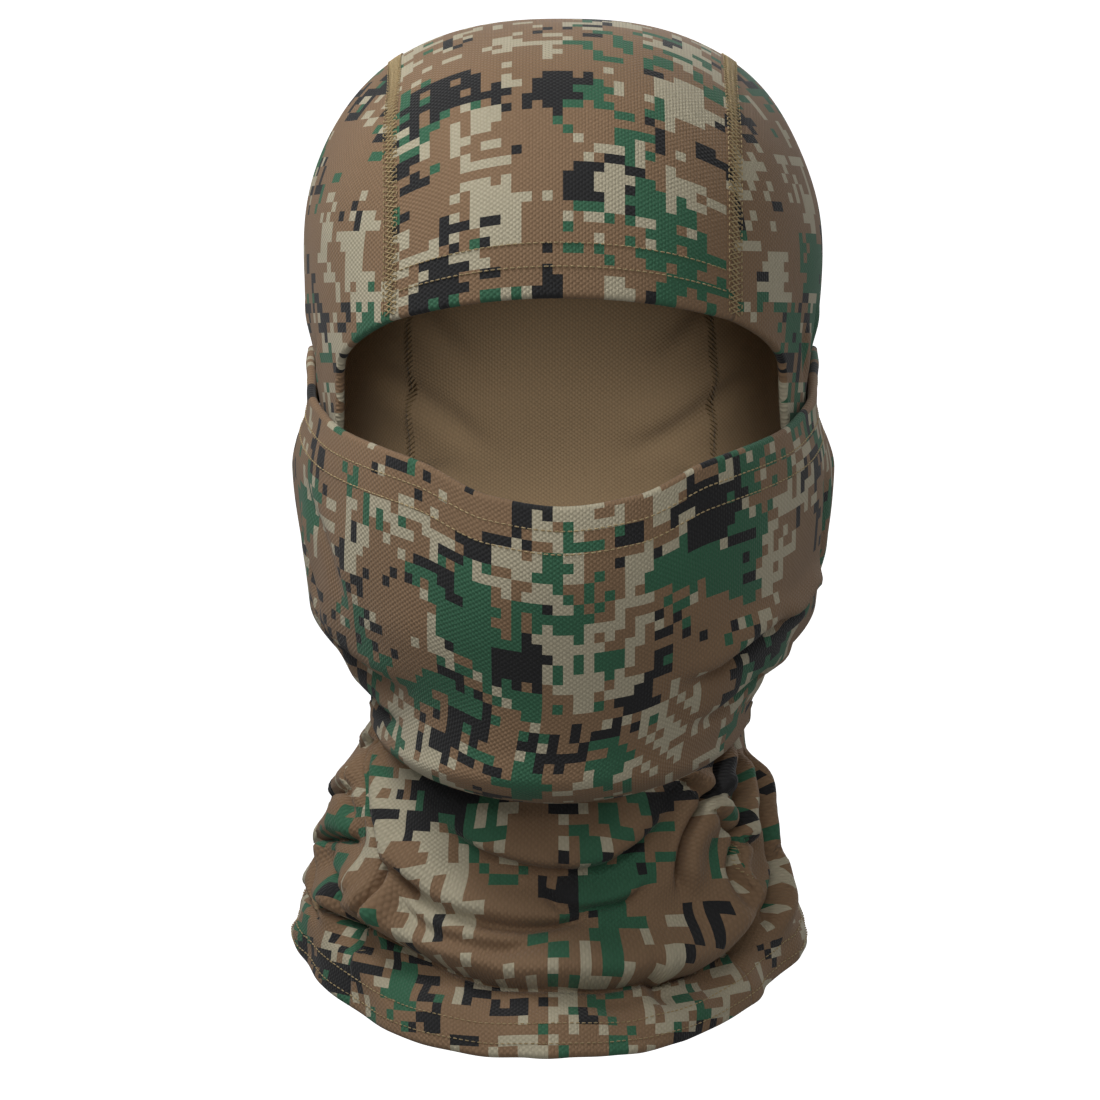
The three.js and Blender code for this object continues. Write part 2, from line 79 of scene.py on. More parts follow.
ROUND, DOME_SIDES, DOME_PROFILE = 2.2, 3.02, 2.5
DOME_PEAK, DOME_PEAK_LATENESS = 0.5, 12
CHIN_POINT = 1.3
NECK_SEAM_ANGLE, JAW_ANGLE = 50.0, 66.0
HEM_FRONT_DROP = HEM_SIDE_DROP + HEM_FRONT * HEM_SLOPE
HEM_BACK_DROP = HEM_SIDE_DROP - HEM_BACK * HEM_SLOPE
HALVINGS, HEM_STEPS = 36, 15  # steps in which a place on the dome and the hem's height are found
STAND_OFF = 2 * CLOTH + 2 * LAYER_GAP + 0.2
CROWN_PATCH = 0.6  # how far the flat patch on the crown lies under the dome's peak
REST = CROWN_HEIGHT - CROWN_PATCH - CLOTH


def millimetres(*point):
    """A place in millimetres, its height measured from the line through the ears, in the part's metres."""
    return np.array([point[0], point[1], point[2] - REST]) / 1000


# ---- camera
VIEW_DISTANCE, VIEW_SIDE, VIEW_HEIGHT = 1400.0, -3.7, -45.6
VIEW_TILT = math.radians(2.5)
LENS, SENSOR = 149.7, 36


def place_camera():
    lens = bpy.data.cameras.new("camera")
    lens.lens, lens.sensor_width = LENS, SENSOR
    camera = bpy.data.objects.new("camera", lens)
    scene.collection.objects.link(camera)
    back, up = -VIEW_DISTANCE * math.cos(VIEW_TILT), VIEW_DISTANCE * math.sin(VIEW_TILT)
    camera.location = millimetres(VIEW_SIDE, back, up + VIEW_HEIGHT)
    camera.rotation_euler = (math.pi / 2 - VIEW_TILT, 0, 0)
    scene.camera = camera


place_camera()


def profile(knots):
    """A smooth curve through (position, value) pairs that never overshoots them."""
    x, y = np.array(knots, float).T
    slope = np.diff(y) / np.diff(x)
    tangent = np.zeros(len(x))
    for i in range(1, len(x) - 1):
        a, b = slope[i - 1], slope[i]
        tangent[i] = 0 if a * b <= 0 else 2 * a * b / (a + b)
    tangent[-1] = slope[-1]

    def at(p):
        p = np.clip(p, x[0], x[-1])
        i = np.clip(np.searchsorted(x, p, side="right") - 1, 0, len(x) - 2)
        span = x[i + 1] - x[i]
        t = (p - x[i]) / span
        rise = y[i + 1] - y[i]
        m0, m1 = tangent[i] * span, tangent[i + 1] * span
        return y[i] + t * (m0 + t * (3 * rise - 2 * m0 - m1 + t * (m0 + m1 - 2 * rise)))

    return at


lerp = lambda a, b, t: a + (b - a) * t
drop_width = profile([(-CROWN_HEIGHT, CROWN_TOP_HALF_WIDTH), (-CROWN_WIDE_HEIGHT, CROWN_HALF_WIDTH),
                      (-TEMPLE_HEIGHT, TEMPLE_HALF_WIDTH), (0, HEAD_HALF_WIDTH),
                      (CHEEK_DROP, CHEEK_HALF_WIDTH), (JAW_DROP, JAW_HALF_WIDTH),
                      (NECK_DROP, NECK_HALF_WIDTH), (COLLAR_DROP, COLLAR_HALF_WIDTH),
                      (HEM_SIDE_DROP, HEM_HALF_WIDTH)])
drop_front = profile([(0, HEAD_FRONT), (CHIN_DROP, THROAT_FRONT),
                      (lerp(CHIN_DROP, HEM_FRONT_DROP, 0.4), NECK_FRONT), (HEM_FRONT_DROP, HEM_FRONT)])
drop_back = profile([(0, HEAD_BACK), (NAPE_DROP, NAPE_BACK), (HEM_BACK_DROP, HEM_BACK)])


def dome(z, fullness):
    """The share of its full size that the head still has at a height above the ears."""
    return np.power(np.maximum(1e-9, 1 - np.power(np.maximum(0, z) / CROWN_HEIGHT, fullness)), 1 / fullness)


def crown_fullness(z):
    return DOME_SIDES - DOME_PEAK * np.maximum(0, z / CROWN_HEIGHT) ** DOME_PEAK_LATENESS


class Hood:
    def width(self, z):
        return drop_width(-z) * dome(z, crown_fullness(z))

    def front(self, z):
        return drop_front(-z) * dome(z, DOME_PROFILE)

    def back(self, z):
        return drop_back(-z) * dome(z, DOME_PROFILE)


mask_front = profile([(-ANCHOR_HEIGHT, HEAD_FRONT + STAND_OFF), (NOSE_DROP, NOSE_FRONT),
                      (CHIN_DROP, CHIN_FRONT)])
mask_ease = profile([(-ANCHOR_HEIGHT, 0), (0, 0), (MASK_EASE_DROP, MASK_EASE), (CHEEK_DROP, CHEEK_EASE),
                     (JAW_DROP, 0)])


class Mask:
    def width(self, z):
        return hood.width(z) + STAND_OFF + mask_ease(-z)

    def front(self, z):
        return mask_front(-z)

    def back(self, z):
        return hood.back(z) + STAND_OFF + mask_ease(-z)


hood, mask = Hood(), Mask()


def on_section(body, angle, z):
    """Points of a body's outline, by degrees round from the face and height."""
    a = np.radians(angle)
    side, ahead = np.sin(a), np.cos(a)
    z = z + 0 * side
    depth = np.where(ahead > 0, body.front(z), body.back(z))
    size = (np.abs(side) / body.width(z)) ** ROUND + (np.abs(ahead) / depth) ** ROUND
    reach = size ** (-1 / ROUND)
    return np.stack([reach * side, -reach * ahead, z], -1)


def outside(body, p):
    """How far out of a body points lie, as a share of its size: 0 on its surface."""
    x, y, z = p[..., 0], p[..., 1], p[..., 2]
    depth = np.where(y < 0, body.front(z), body.back(z))
    return ((np.abs(x) / body.width(z)) ** ROUND + (np.abs(y) / depth) ** ROUND) ** (1 / ROUND) - 1


def on_crown(x, turn):
    """Points of the hood's top half, by distance from its middle and degrees up and over from the face."""
    ahead, up = np.cos(np.radians(turn)), np.sin(np.radians(turn))
    x = x + 0 * ahead
    near, far = 0 * ahead * x, 0 * ahead * x + 2 * CROWN_HEIGHT
    for _ in range(HALVINGS):
        reach = (near + far) / 2
        z = np.minimum(reach * up, CROWN_HEIGHT * (1 - 1e-5))
        p = np.stack([x, -reach * ahead, z], -1)
        beyond = (reach * up >= CROWN_HEIGHT) | (outside(hood, p) > 0)
        far = np.where(beyond, reach, far)
        near = np.where(beyond, near, reach)
    return np.stack([x, -near * ahead, near * up], -1)


def hem_at(angle):
    """The height of the sloping hem, by degrees round from the face."""
    z = 0 * angle - HEM_SIDE_DROP
    for _ in range(HEM_STEPS):
        z = -HEM_SIDE_DROP + on_section(hood, angle, z)[..., 1] * HEM_SLOPE
    return z


top_share = profile([(0, 0), (0.12, 0.07), (0.25, 0.28), (0.5, 0.5), (0.72, 0.71), (0.88, 0.89), (1, 1)])
mask_top = lambda angle: lerp(-NOSE_EDGE_DROP, ANCHOR_HEIGHT, top_share(np.abs(angle) / ANCHOR_ANGLE))
brow_at = lambda x: lerp(BROW_HEIGHT, BROW_CORNER_HEIGHT, (x / CROWN_HALF_STRIP) ** 2)


def normals(body, p):
    """Outward directions of a body's surface."""
    slopes = []
    for axis in range(3):
        move = np.zeros(3)
        move[axis] = 0.05
        slopes.append(outside(body, p + move) - outside(body, p - move))
    n = np.stack(slopes, -1)
    n /= np.linalg.norm(n, axis=-1, keepdims=True)
    n[p[..., 2] > CROWN_HEIGHT - 0.15] = (0, 0, 1)
    return n


smooth = lambda t: np.clip(t, 0, 1) ** 2 * (3 - 2 * np.clip(t, 0, 1))
spread = lambda a, b: np.broadcast_arrays(np.asarray(a, float), np.asarray(b, float))
degrees_round = lambda p: np.degrees(np.arctan2(p[..., 0], -p[..., 1]))


# ---- wrinkles
def rounded(points):
    """A smooth line through a few points."""
    p = np.array(points, float)
    ends = np.vstack([2 * p[0] - p[1], p, 2 * p[-1] - p[-2]])
    line = []
    for a, b, c, d in zip(ends, ends[1:], ends[2:], ends[3:]):
        bend, twist = 2 * a - 5 * b + 4 * c - d, 3 * b - a - 3 * c + d
        for t in np.linspace(0, 1, 8, endpoint=False):
            line.append(0.5 * (2 * b + (c - a) * t + bend * t**2 + twist * t**3))
    return np.array(line + [p[-1]])


AROUND = 1.2  # millimetres of cloth to a degree round the head
VALLEY_WIDE, ROLL_WIDE, SAG_WIDE, SAG_PLACE = 0.5, 0.85, 0.8, 0.75  # shares of a fold line's width
CREASE_REACH = 5  # how many widths a fold line reaches


class Crease:
    """A fold line on the cloth: (degree round from the face, height) points, the width and depth of its
    valley, the height of the roll beside it, how far that roll sags over the valley, the share of its length
    that fades, and the height of the cloth on its other side as a share of the roll's."""

    def __init__(self, points, width, depth, roll=0.0, sag=0.0, fade=0.25, below=0.3):
        self.line = rounded([(a * AROUND, z) for a, z in points])
        self.width, self.depth, self.roll, self.sag = width, depth, roll, sag
        self.fade, self.below = fade, below

    def at(self, x, z):
        best = np.full(x.shape, 1e9)
        side, along = np.zeros(x.shape), np.zeros(x.shape)
        across = np.zeros(x.shape + (2,))
        count = len(self.line) - 1
        for i in range(count):
            (ax, az), (bx, bz) = self.line[i], self.line[i + 1]
            dx, dz = bx - ax, bz - az
            length = math.hypot(dx, dz)
            t = np.clip(((x - ax) * dx + (z - az) * dz) / length**2, 0, 1)
            ox, oz = x - ax - t * dx, z - az - t * dz
            distance = np.hypot(ox, oz)
            near = distance < best
            best = np.where(near, distance, best)
            left = -ox * dz / length + oz * dx / length
            side = np.where(near, np.sign(left), side)
            along = np.where(near, (i + t) / count, along)
            across[near] = (-dz / length, dx / length)
        d = best * side
        w = self.width
        strength = smooth(along / self.fade) * smooth((1 - along) / self.fade)
        strength = strength * np.where(best < CREASE_REACH * w, 1, 0)
        bump = lambda centre, wide: np.exp(-(((d - centre) / wide) ** 2))
        height = (-self.depth * bump(0, VALLEY_WIDE * w) + self.roll * bump(w, ROLL_WIDE * w)
                  + self.below * self.roll * bump(-w, ROLL_WIDE * w))
        slide = -self.sag * bump(SAG_PLACE * w, SAG_WIDE * w)
        return strength * height, (strength * slide)[..., None] * across


def ripple(p, size, seed):
    """Soft unevenness of a cloth surface, about 1 high, with waves of the given size."""
    chance = np.random.default_rng(seed)
    total = np.zeros(p.shape[:-1])
    for _ in range(7):
        way = chance.normal(size=3)
        way *= 2 * math.pi / (size * chance.uniform(0.7, 1.5)) / np.linalg.norm(way)
        total += np.sin(p @ way + chance.uniform(0, 2 * math.pi))
    return total / 2.6


# How far the cloth is moved or drawn in at a few places, and how far below the ears each of them lies.
LEAN, LEAN_DROP = -4.2, 84  # the neck hangs to one side from here down
HEM_CORNER, HEM_CORNER_DROP = 5.4, 134  # the hem's front corners, from here down
NECK_SIDE, NECK_SIDE_DROP = 4.6, 138  # the neck's sides above the hem
MOUTH_SIDE, MOUTH_SIDE_DROP = 2.2, -8  # the mask's upper corners
JAW_SIDE, JAW_SIDE_DROP = 2.4, 88  # the mask's lower corners


def relief(p, n, creases, waves):
    """Cloth points moved by its fold lines and its general unevenness."""
    degrees = degrees_round(p)
    x = degrees * AROUND
    z = p[..., 2]
    height = sum(amount(p) * ripple(p, size, seed) for amount, size, seed in waves)
    turned = np.abs(degrees)
    around = lambda drop, tall: np.exp(-(((z + drop) / tall) ** 2))
    corner = np.sin(np.radians(2 * np.clip(degrees, -90, 90))) ** 2
    neck = smooth((turned - 50) / 24) * smooth((132 - turned) / 24)
    mouth = MOUTH_SIDE * smooth((turned - 62) / 20) * smooth((118 - turned) / 18)
    jaw = JAW_SIDE * smooth((turned - 54) / 10) * smooth((88 - turned) / 12)
    height = height - HEM_CORNER * corner * smooth((-z - HEM_CORNER_DROP) / 30)
    height = height - NECK_SIDE * neck * around(NECK_SIDE_DROP, 13)
    height = height - mouth * smooth(1.4 - np.abs(z + MOUTH_SIDE_DROP) / 14)
    height = height - jaw * around(JAW_SIDE_DROP, 10)
    slide = np.zeros(p.shape[:-1] + (2,))
    for crease in creases:
        reach = CREASE_REACH * crease.width
        low, high = crease.line.min(0) - reach, crease.line.max(0) + reach
        near = (x > low[0]) & (x < high[0]) & (z > low[1]) & (z < high[1])
        if not near.any():
            continue
        h, s = crease.at(x[near], z[near])
        height[near] += h
        slide[near] += s
    level = np.stack([-n[..., 1], n[..., 0], 0 * x], -1)
    level /= np.maximum(np.linalg.norm(level, axis=-1, keepdims=True), 1e-6)
    up = np.array([0.0, 0, 1])
    moved = p + n * height[..., None] + level * slide[..., :1] + up * slide[..., 1:]
    moved[..., 0] += LEAN * smooth((-z - LEAN_DROP) / 34)
    return moved


# Fold lines of the hood and the neck.
HOOD_CREASES = [Crease(*row) for row in (
    # the big roll over the hem, in front
    ([(-60, -144), (-50, -149), (-40, -154), (-29, -158), (-18, -162), (-6, -165), (8, -165.5), (20, -164),
      (30, -160)], 6.0, 8.5, 7.5, 6.5, 0.1, -0.75),
    ([(22, -163.5), (30, -163), (38, -161), (45, -157), (51, -150), (56, -140)],
     5.6, 10.0, 8.5, 7.0, 0.14, -0.85),
    # the swags above it
    ([(-46, -130), (-36, -139), (-26, -146), (-12, -150), (2, -150.5), (14, -148)],
     4.2, 5.0, 4.8, 3.4, 0.22, -0.4),
    ([(-42, -142), (-32, -148), (-22, -152.5), (-10, -155.5), (4, -156)], 3.4, 3.6, 3.2, 2.4, 0.26, -0.4),
    ([(-30, -122), (-18, -130), (-4, -135), (12, -135), (24, -128), (34, -118)],
     5.0, 4.2, 3.8, 2.6, 0.26, -0.3),
    ([(-4, -138), (2, -144), (10, -146), (20, -144), (30, -138)], 3.4, 3.8, 3.2, 2.4, 0.3, -0.3),
    ([(2, -124), (3, -132), (4, -140)], 3.0, 1.6, 1.0, 0.0, 0.4),
    # the left neck seam, drawn into a fold
    ([(-60, -97), (-56, -108), (-50, -121), (-45, -131), (-42, -139), (-44, -147), (-51, -153)],
     3.4, 6.2, 3.8, 1.8, 0.1),
    # gathers left of it
    ([(-96, -124), (-84, -119), (-70, -116), (-57, -116)], 4.0, 4.6, 4.2, 2.8, 0.22),
    ([(-90, -138), (-78, -133), (-66, -129), (-52, -130)], 3.8, 5.0, 4.4, 3.2, 0.2),
    ([(-74, -126), (-76, -136), (-72, -144), (-64, -149), (-54, -151), (-46, -148)],
     3.6, 5.8, 4.4, 3.6, 0.18),
    ([(-66, -134), (-62, -140), (-55, -142), (-47, -141)], 3.0, 3.8, 2.8, 2.0, 0.28),
    ([(-68, -102), (-65, -110), (-61, -118), (-56, -125)], 2.8, 3.6, 2.6, 1.0, 0.28),
    ([(-94, -110), (-82, -105), (-72, -102), (-64, -103)], 3.8, 3.6, 3.0, 1.8, 0.28),
    ([(-92, -150), (-82, -147), (-72, -150), (-62, -156)], 4.0, 4.6, 4.0, 3.2, 0.28),
    # the right side: long folds that run down from the jaw
    ([(58, -98), (51, -107), (44, -116), (38, -125), (35, -135), (34, -146)], 3.8, 6.6, 4.6, 2.4, 0.18),
    ([(66, -102), (59, -114), (53, -126), (49, -138), (46, -150)], 4.2, 7.0, 5.4, 2.4, 0.18),
    ([(72, -104), (73, -116), (68, -130), (71, -140), (66, -150), (60, -156)], 4.4, 6.2, 5.0, 2.4, 0.18),
    ([(36, -112), (45, -122), (54, -130), (62, -134)], 3.2, 4.4, 3.4, 2.0, 0.28),
    ([(30, -104), (38, -112), (47, -117), (56, -118)], 3.0, 3.6, 2.8, 1.4, 0.28),
    ([(86, -106), (83, -120), (82, -136), (77, -148)], 4.6, 4.8, 4.0, 2.0, 0.25),
    # behind
    ([(100, -112), (116, -118), (132, -116), (150, -108), (166, -104), (180, -103), (194, -104)],
     5.5, 3.8, 3.6, 3.0, 0.25),
    ([(-100, -130), (-116, -124), (-132, -120), (-150, -114), (-166, -110)], 5.5, 3.8, 3.6, 3.0, 0.25),
    ([(96, -130), (110, -134), (124, -130), (140, -122), (156, -118)], 5.0, 3.4, 3.4, 2.6, 0.3),
    ([(-96, -104), (-112, -100), (-128, -96), (-146, -92)], 6.0, 2.6, 2.8, 1.6, 0.3),
    ([(136, -40), (148, -30), (160, -26)], 6.0, 1.8, 1.4, 0.0, 0.35),
    ([(134, 10), (146, 0), (158, -12), (170, -22)], 6.5, 2.0, 1.6, 0.0, 0.35),
    ([(138, 34), (150, 26), (162, 8)], 6.0, 1.6, 1.2, 0.0, 0.35),
    ([(-136, -34), (-148, -26), (-160, -24)], 6.0, 1.8, 1.4, 0.0, 0.35),
    ([(-134, 14), (-146, 4), (-158, -8), (-168, -22)], 6.5, 2.0, 1.6, 0.0, 0.35),
    ([(-140, 38), (-152, 26), (-164, 6)], 6.0, 1.6, 1.2, 0.0, 0.35),
    # the temples
    ([(70, 34), (74, 20), (80, 6), (84, -8)], 4.0, 1.4, 1.0, 0.0, 0.35),
    ([(60, 26), (62, 14), (66, 2)], 3.5, 1.0, 0.7, 0.0, 0.35),
    ([(-64, 22), (-68, 12), (-74, 2)], 3.5, 1.0, 0.7, 0.0, 0.35),
    ([(-76, 40), (-80, 24), (-82, 6)], 4.5, 1.2, 0.9, 0.0, 0.35),
)]
neck_part = lambda p: smooth((-p[..., 2] - 78) / 30)
back_part = lambda p: smooth((p[..., 1] - 20) / 50)
# Soft unevenness: how high it is, the size of its waves, and its seed.
HOOD_WAVES = [(lambda p: 0.34 + 0.5 * back_part(p), 46, 3),
              (lambda p: 1.1 * neck_part(p), 34, 5),
              (lambda p: 0.45 * neck_part(p), 13, 8)]

# Fold lines of the mask.
MASK_CREASES = [Crease(*row) for row in (
    ([(-60, -20), (-56, -30), (-50, -40), (-46, -52), (-44, -64)], 6.0, 1.5, 1.0, 0.0, 0.3),
    ([(-70, -30), (-66, -44), (-60, -58), (-52, -70)], 6.0, 1.5, 1.1, 0.0, 0.3),
    ([(-72, -56), (-62, -66), (-50, -75), (-38, -81), (-26, -84)], 5.5, 2.2, 1.8, 0.8, 0.3),
    ([(-66, -78), (-56, -85), (-44, -91), (-32, -94)], 4.5, 2.0, 1.6, 0.8, 0.3),
    ([(19, -82), (27, -77), (35, -70), (42, -65), (50, -61)], 4.6, 3.2, 2.4, 1.4, 0.3),
    ([(42, -65), (52, -61), (60, -56), (70, -54)], 3.6, 4.0, 3.0, 1.8, 0.25),
    ([(22, -96), (34, -88), (46, -80), (58, -75)], 4.8, 2.0, 1.8, 0.8, 0.3),
    ([(48, -84), (56, -79), (66, -76)], 3.6, 2.2, 1.8, 1.0, 0.3),
    ([(66, -16), (68, -30), (70, -44), (74, -56)], 5.5, 1.4, 1.1, 0.0, 0.3),
    ([(80, -6), (80, -22), (80, -40), (84, -56)], 5.5, 1.4, 1.1, 0.0, 0.3),
)]
MASK_WAVES = [(lambda p: 0.35 + 0 * p[..., 2], 40, 11)]


def on_hood(p, depth=0.0):
    """Points of the hood's outer face, sunk by a depth, with its folds and the flat patch on its crown."""
    n = normals(hood, p)
    q = relief(p, n, HOOD_CREASES, HOOD_WAVES) - n * depth
    return np.concatenate([q[..., :2], np.minimum(q[..., 2:], CROWN_HEIGHT - CROWN_PATCH - depth)], -1)


# ---- outlines of the panels
def angle_of(x, z, behind=False):
    """Degrees round from the face of the hood's outline at a distance from the middle."""
    depth = hood.back(z) if behind else hood.front(z)
    share = np.maximum(0, 1 - (np.abs(x) / hood.width(z)) ** ROUND)
    y = depth * share ** (1 / ROUND)
    return np.sign(x) * np.degrees(np.arctan2(np.abs(x), -y if behind else y))


SEAM_TOP = -JAW_DROP - 3
neck_seam_angle = profile([(0, JAW_ANGLE), (0.35, NECK_SEAM_ANGLE + 3), (1, NECK_SEAM_ANGLE)])
HEM_AT_SEAM = float(hem_at(np.array(NECK_SEAM_ANGLE)))
neck_seam_height = lambda t: lerp(SEAM_TOP, HEM_AT_SEAM, t)
NECK_SHARE = 0.7  # the share of the side panels' front edge that lies above the jaw
CORNER_ANGLE = float(angle_of(CROWN_HALF_STRIP, BROW_CORNER_HEIGHT))
# The side panels' front edge, round the eyes and down to the jaw: share of the way, angle, height.
EDGE = [(0, CORNER_ANGLE, BROW_CORNER_HEIGHT),
        (0.15, lerp(CORNER_ANGLE, EYE_CORNER_ANGLE, 0.85), lerp(BROW_CORNER_HEIGHT, EYE_CORNER_HEIGHT, 0.6)),
        (0.3, EYE_CORNER_ANGLE, EYE_CORNER_HEIGHT - 8),
        (0.55, JAW_ANGLE + 6, lerp(-CHEEK_DROP, -JAW_DROP, 0.3)),
        (NECK_SHARE, JAW_ANGLE, SEAM_TOP)]
edge_angle = profile([(q, a) for q, a, z in EDGE])
edge_height = profile([(q, z) for q, a, z in EDGE])
below_jaw = lambda v: (v - NECK_SHARE) / (1 - NECK_SHARE)
front_angle = lambda v: np.where(v < NECK_SHARE, edge_angle(v), neck_seam_angle(below_jaw(v)))
front_height = lambda v: np.where(v < NECK_SHARE, edge_height(v), neck_seam_height(below_jaw(v)))
mask_side = profile([(0, ANCHOR_ANGLE), (0.35, ANCHOR_ANGLE - 2), (0.7, lerp(ANCHOR_ANGLE, JAW_ANGLE, 0.35)),
                     (1, JAW_ANGLE)])
OVER_SHARE = 0.6  # the share of a panel's length that lies above the line through the ears


def brow_turn(x):
    """Degrees up from the face at which the crown panel starts."""
    z = brow_at(x)
    p = on_section(hood, angle_of(x, z), z)
    return np.degrees(np.arctan2(p[..., 2], -p[..., 1]))


def crown_point(x, v):
    """Points of the crown panel: distance from its middle, share of the way from brow to hem."""
    x, v = spread(x, v)
    over = on_crown(x, lerp(brow_turn(x), 180, np.minimum(v / OVER_SHARE, 1)))
    down = np.clip((v - OVER_SHARE) / (1 - OVER_SHARE), 0, 1)

    def nape_angle(z):
        a = angle_of(x * hood.width(z) / HEAD_HALF_WIDTH, z, True)
        return np.where(x == 0, 180.0, a)

    z = lerp(0, hem_at(nape_angle(-HEM_BACK_DROP + 0 * x)), down)
    under = on_section(hood, nape_angle(z), z)
    return np.where((v <= OVER_SHARE)[..., None], over, under)


def side_point(side, u, v):
    """Points of a side panel: share of the way round to the crown panel, share of the way down."""
    u, v = spread(u, v)
    end = crown_point(CROWN_HALF_STRIP + 0 * v, v)
    end_angle = degrees_round(end)
    angle = lerp(front_angle(v), end_angle, u)
    settle = np.clip((v - OVER_SHARE) / (1 - OVER_SHARE), 0, 1) ** 2
    sag = hem_at(angle) - lerp(hem_at(front_angle(v)), hem_at(end_angle), u)
    p = on_section(hood, angle, lerp(front_height(v), end[..., 2], u) + sag * settle)
    p = np.where((u >= 1)[..., None], end, p)
    return p * np.array([side, 1, 1])


TURN_SHARE = 0.16  # the share of the mask's length that turns in under the chin
chin_share = lambda angle: np.cos(np.radians(np.clip(angle / JAW_ANGLE, -1, 1) * 90))
mask_bottom = lambda angle: lerp(-JAW_DROP, -CHIN_FOLD_DROP, np.maximum(chin_share(angle), 0) ** CHIN_POINT)
fold_depth = lambda angle: lerp(JAW_FOLD_DEPTH, FOLD_DEPTH, chin_share(angle))


def mask_limits(across):
    """The mask's top and bottom heights and the depth of its fold."""
    jaw = across * JAW_ANGLE
    return mask_top(across * ANCHOR_ANGLE), mask_bottom(jaw), fold_depth(jaw)


def mask_point(across, v):
    """Points of the mask: share of the way from its middle to a side, share of the way down."""
    across, v = spread(across, v)
    top, bottom, fold = mask_limits(across)
    turn = np.radians(np.maximum(0, (v - 1 + TURN_SHARE) / TURN_SHARE) * 90)
    z = lerp(top, bottom + fold, np.minimum(1, v / (1 - TURN_SHARE)))
    p = on_section(mask, across * mask_side(v), z)
    p = relief(p, normals(mask, p), MASK_CREASES, MASK_WAVES)
    tuck = CHIN_TUCK * np.maximum(chin_share(across * JAW_ANGLE), 0) ** 2 * (1 - np.cos(turn))
    reach = np.hypot(p[..., 0], p[..., 1])
    drawn = ((reach - tuck) / reach)[..., None] * p[..., :2]
    return np.concatenate([drawn, (p[..., 2] - fold * np.sin(turn))[..., None]], -1)


def grid_normals(p):
    """Outward normals of a grid of points, from the grid itself."""
    n = np.cross(np.gradient(p, axis=0), np.gradient(p, axis=1))
    n /= np.maximum(np.linalg.norm(n, axis=-1, keepdims=True), 1e-9)
    middle = np.array([0, 0, -20.0])  # a place inside the head
    return n if ((p - middle) * n).sum() > 0 else -n


# ---- making meshes
def mesh_object(name, points, faces, materials, face_slots=None):
    """An object from points in millimetres."""
    mesh = bpy.data.meshes.new(name)
    place = (points.reshape(-1, 3) - np.array([0, 0, REST])) / 1000
    mesh.from_pydata(place.tolist(), [], faces)
    for material in materials:
        mesh.materials.append(material)
    if face_slots is not None:
        mesh.polygons.foreach_set("material_index", np.asarray(face_slots, np.int32))
    mesh.polygons.foreach_set("use_smooth", np.ones(len(mesh.polygons), bool))
    mesh.update()
    piece = bpy.data.objects.new(name, mesh)
    scene.collection.objects.link(piece)
    return piece


def travelled(points):
    """Distance along each line of points, down the first axis."""
    steps = np.linalg.norm(np.diff(points, axis=0), axis=-1)
    return np.concatenate([np.zeros_like(steps[:1]), np.cumsum(steps, axis=0)])


# ---- rows of a turned-in edge
TURN_RADIUS = (CLOTH + LAYER_GAP) / 2
HALF_CLOTH = CLOTH / 2
TURN_STEP = 1.6


def turned_edge(width):
    """Rows from the raw end of a turned-in edge, round its fold, to the outside: distance from the fold,
    depth under the cloth's face, and 1 for the rows that lie past the fold."""
    inside = np.arange(width, 2 * TURN_RADIUS, -TURN_STEP)
    bend = np.radians([90, 60, 30, 0, -30, -60, -90])
    distance = np.concatenate([inside, TURN_RADIUS * (1 - np.cos(bend))])
    depth = np.concatenate([0 * inside + 1, (np.sin(bend) + 1) / 2]) * 2 * TURN_RADIUS + HALF_CLOTH
    return distance, depth, np.concatenate([0 * inside + 1, (bend > 0) * 1.0])


def raw_edge():
    return np.zeros(1), np.full(1, HALF_CLOTH), np.zeros(1)


EDGE_SPACE = 0.9  # from a turned edge's last row to the next one


def respaced(grid, first=None, last=None, step=1.5):
    """Rows of a grid re-spaced by distance, with a turned edge at its first or last row if asked for.
    The last channel of the grid is its depth, and the two before that are its place on the flat cut."""
    first, last = first or raw_edge(), last or raw_edge()
    lengths = travelled(grid[..., :3])
    total = lengths[-1]
    reach = first[0].max() + last[0].max() + 4 * step
    share = np.minimum(1, total / reach)
    start, end = first[0][-1] + EDGE_SPACE, last[0][-1] + EDGE_SPACE
    count = max(2, int(np.median(total - start - end) / step))
    between = np.linspace(0, 1, count + 1)[:, None]
    if len(first[0]) == 1:
        start = 0
        between = between[1:]
    if len(last[0]) == 1:
        end = 0
        between = between[:-1]
    middle = start * share + between * (total - (start + end) * share)
    places = np.vstack([first[0][:, None] * share, middle, total - last[0][::-1, None] * share])
    depth = np.concatenate([first[1], np.full(len(middle), HALF_CLOTH), last[1][::-1]])
    folded = [np.concatenate([first[2], np.zeros(len(middle) + len(last[2]))]) > 0,
              np.concatenate([np.zeros(len(first[2]) + len(middle)), last[2][::-1]]) > 0]
    result = np.empty((len(places),) + grid.shape[1:])
    for column in range(grid.shape[1]):
        for channel in range(grid.shape[2]):
            values = grid[:, column, channel]
            result[:, column, channel] = np.interp(places[:, column], lengths[:, column], values)
    # a folded-in part goes on past the fold on the flat cut
    result[folded[0], :, -3:-1] = 2 * grid[:1, :, -3:-1] - result[folded[0], :, -3:-1]
    result[folded[1], :, -3:-1] = 2 * grid[-1:, :, -3:-1] - result[folded[1], :, -3:-1]
    result[..., -1] += (depth - HALF_CLOTH)[:, None]
    return result


def turn_round(grid):
    return grid.transpose(1, 0, 2)


def cloth_grid(points, cut):
    """A grid of points on the cloth's outer face with its normals, its place on the cut, and its depth."""
    return np.concatenate([points, grid_normals(points), cut, np.zeros(points.shape[:2] + (1,))], -1)


LOWEST = -200  # a height below the whole hem


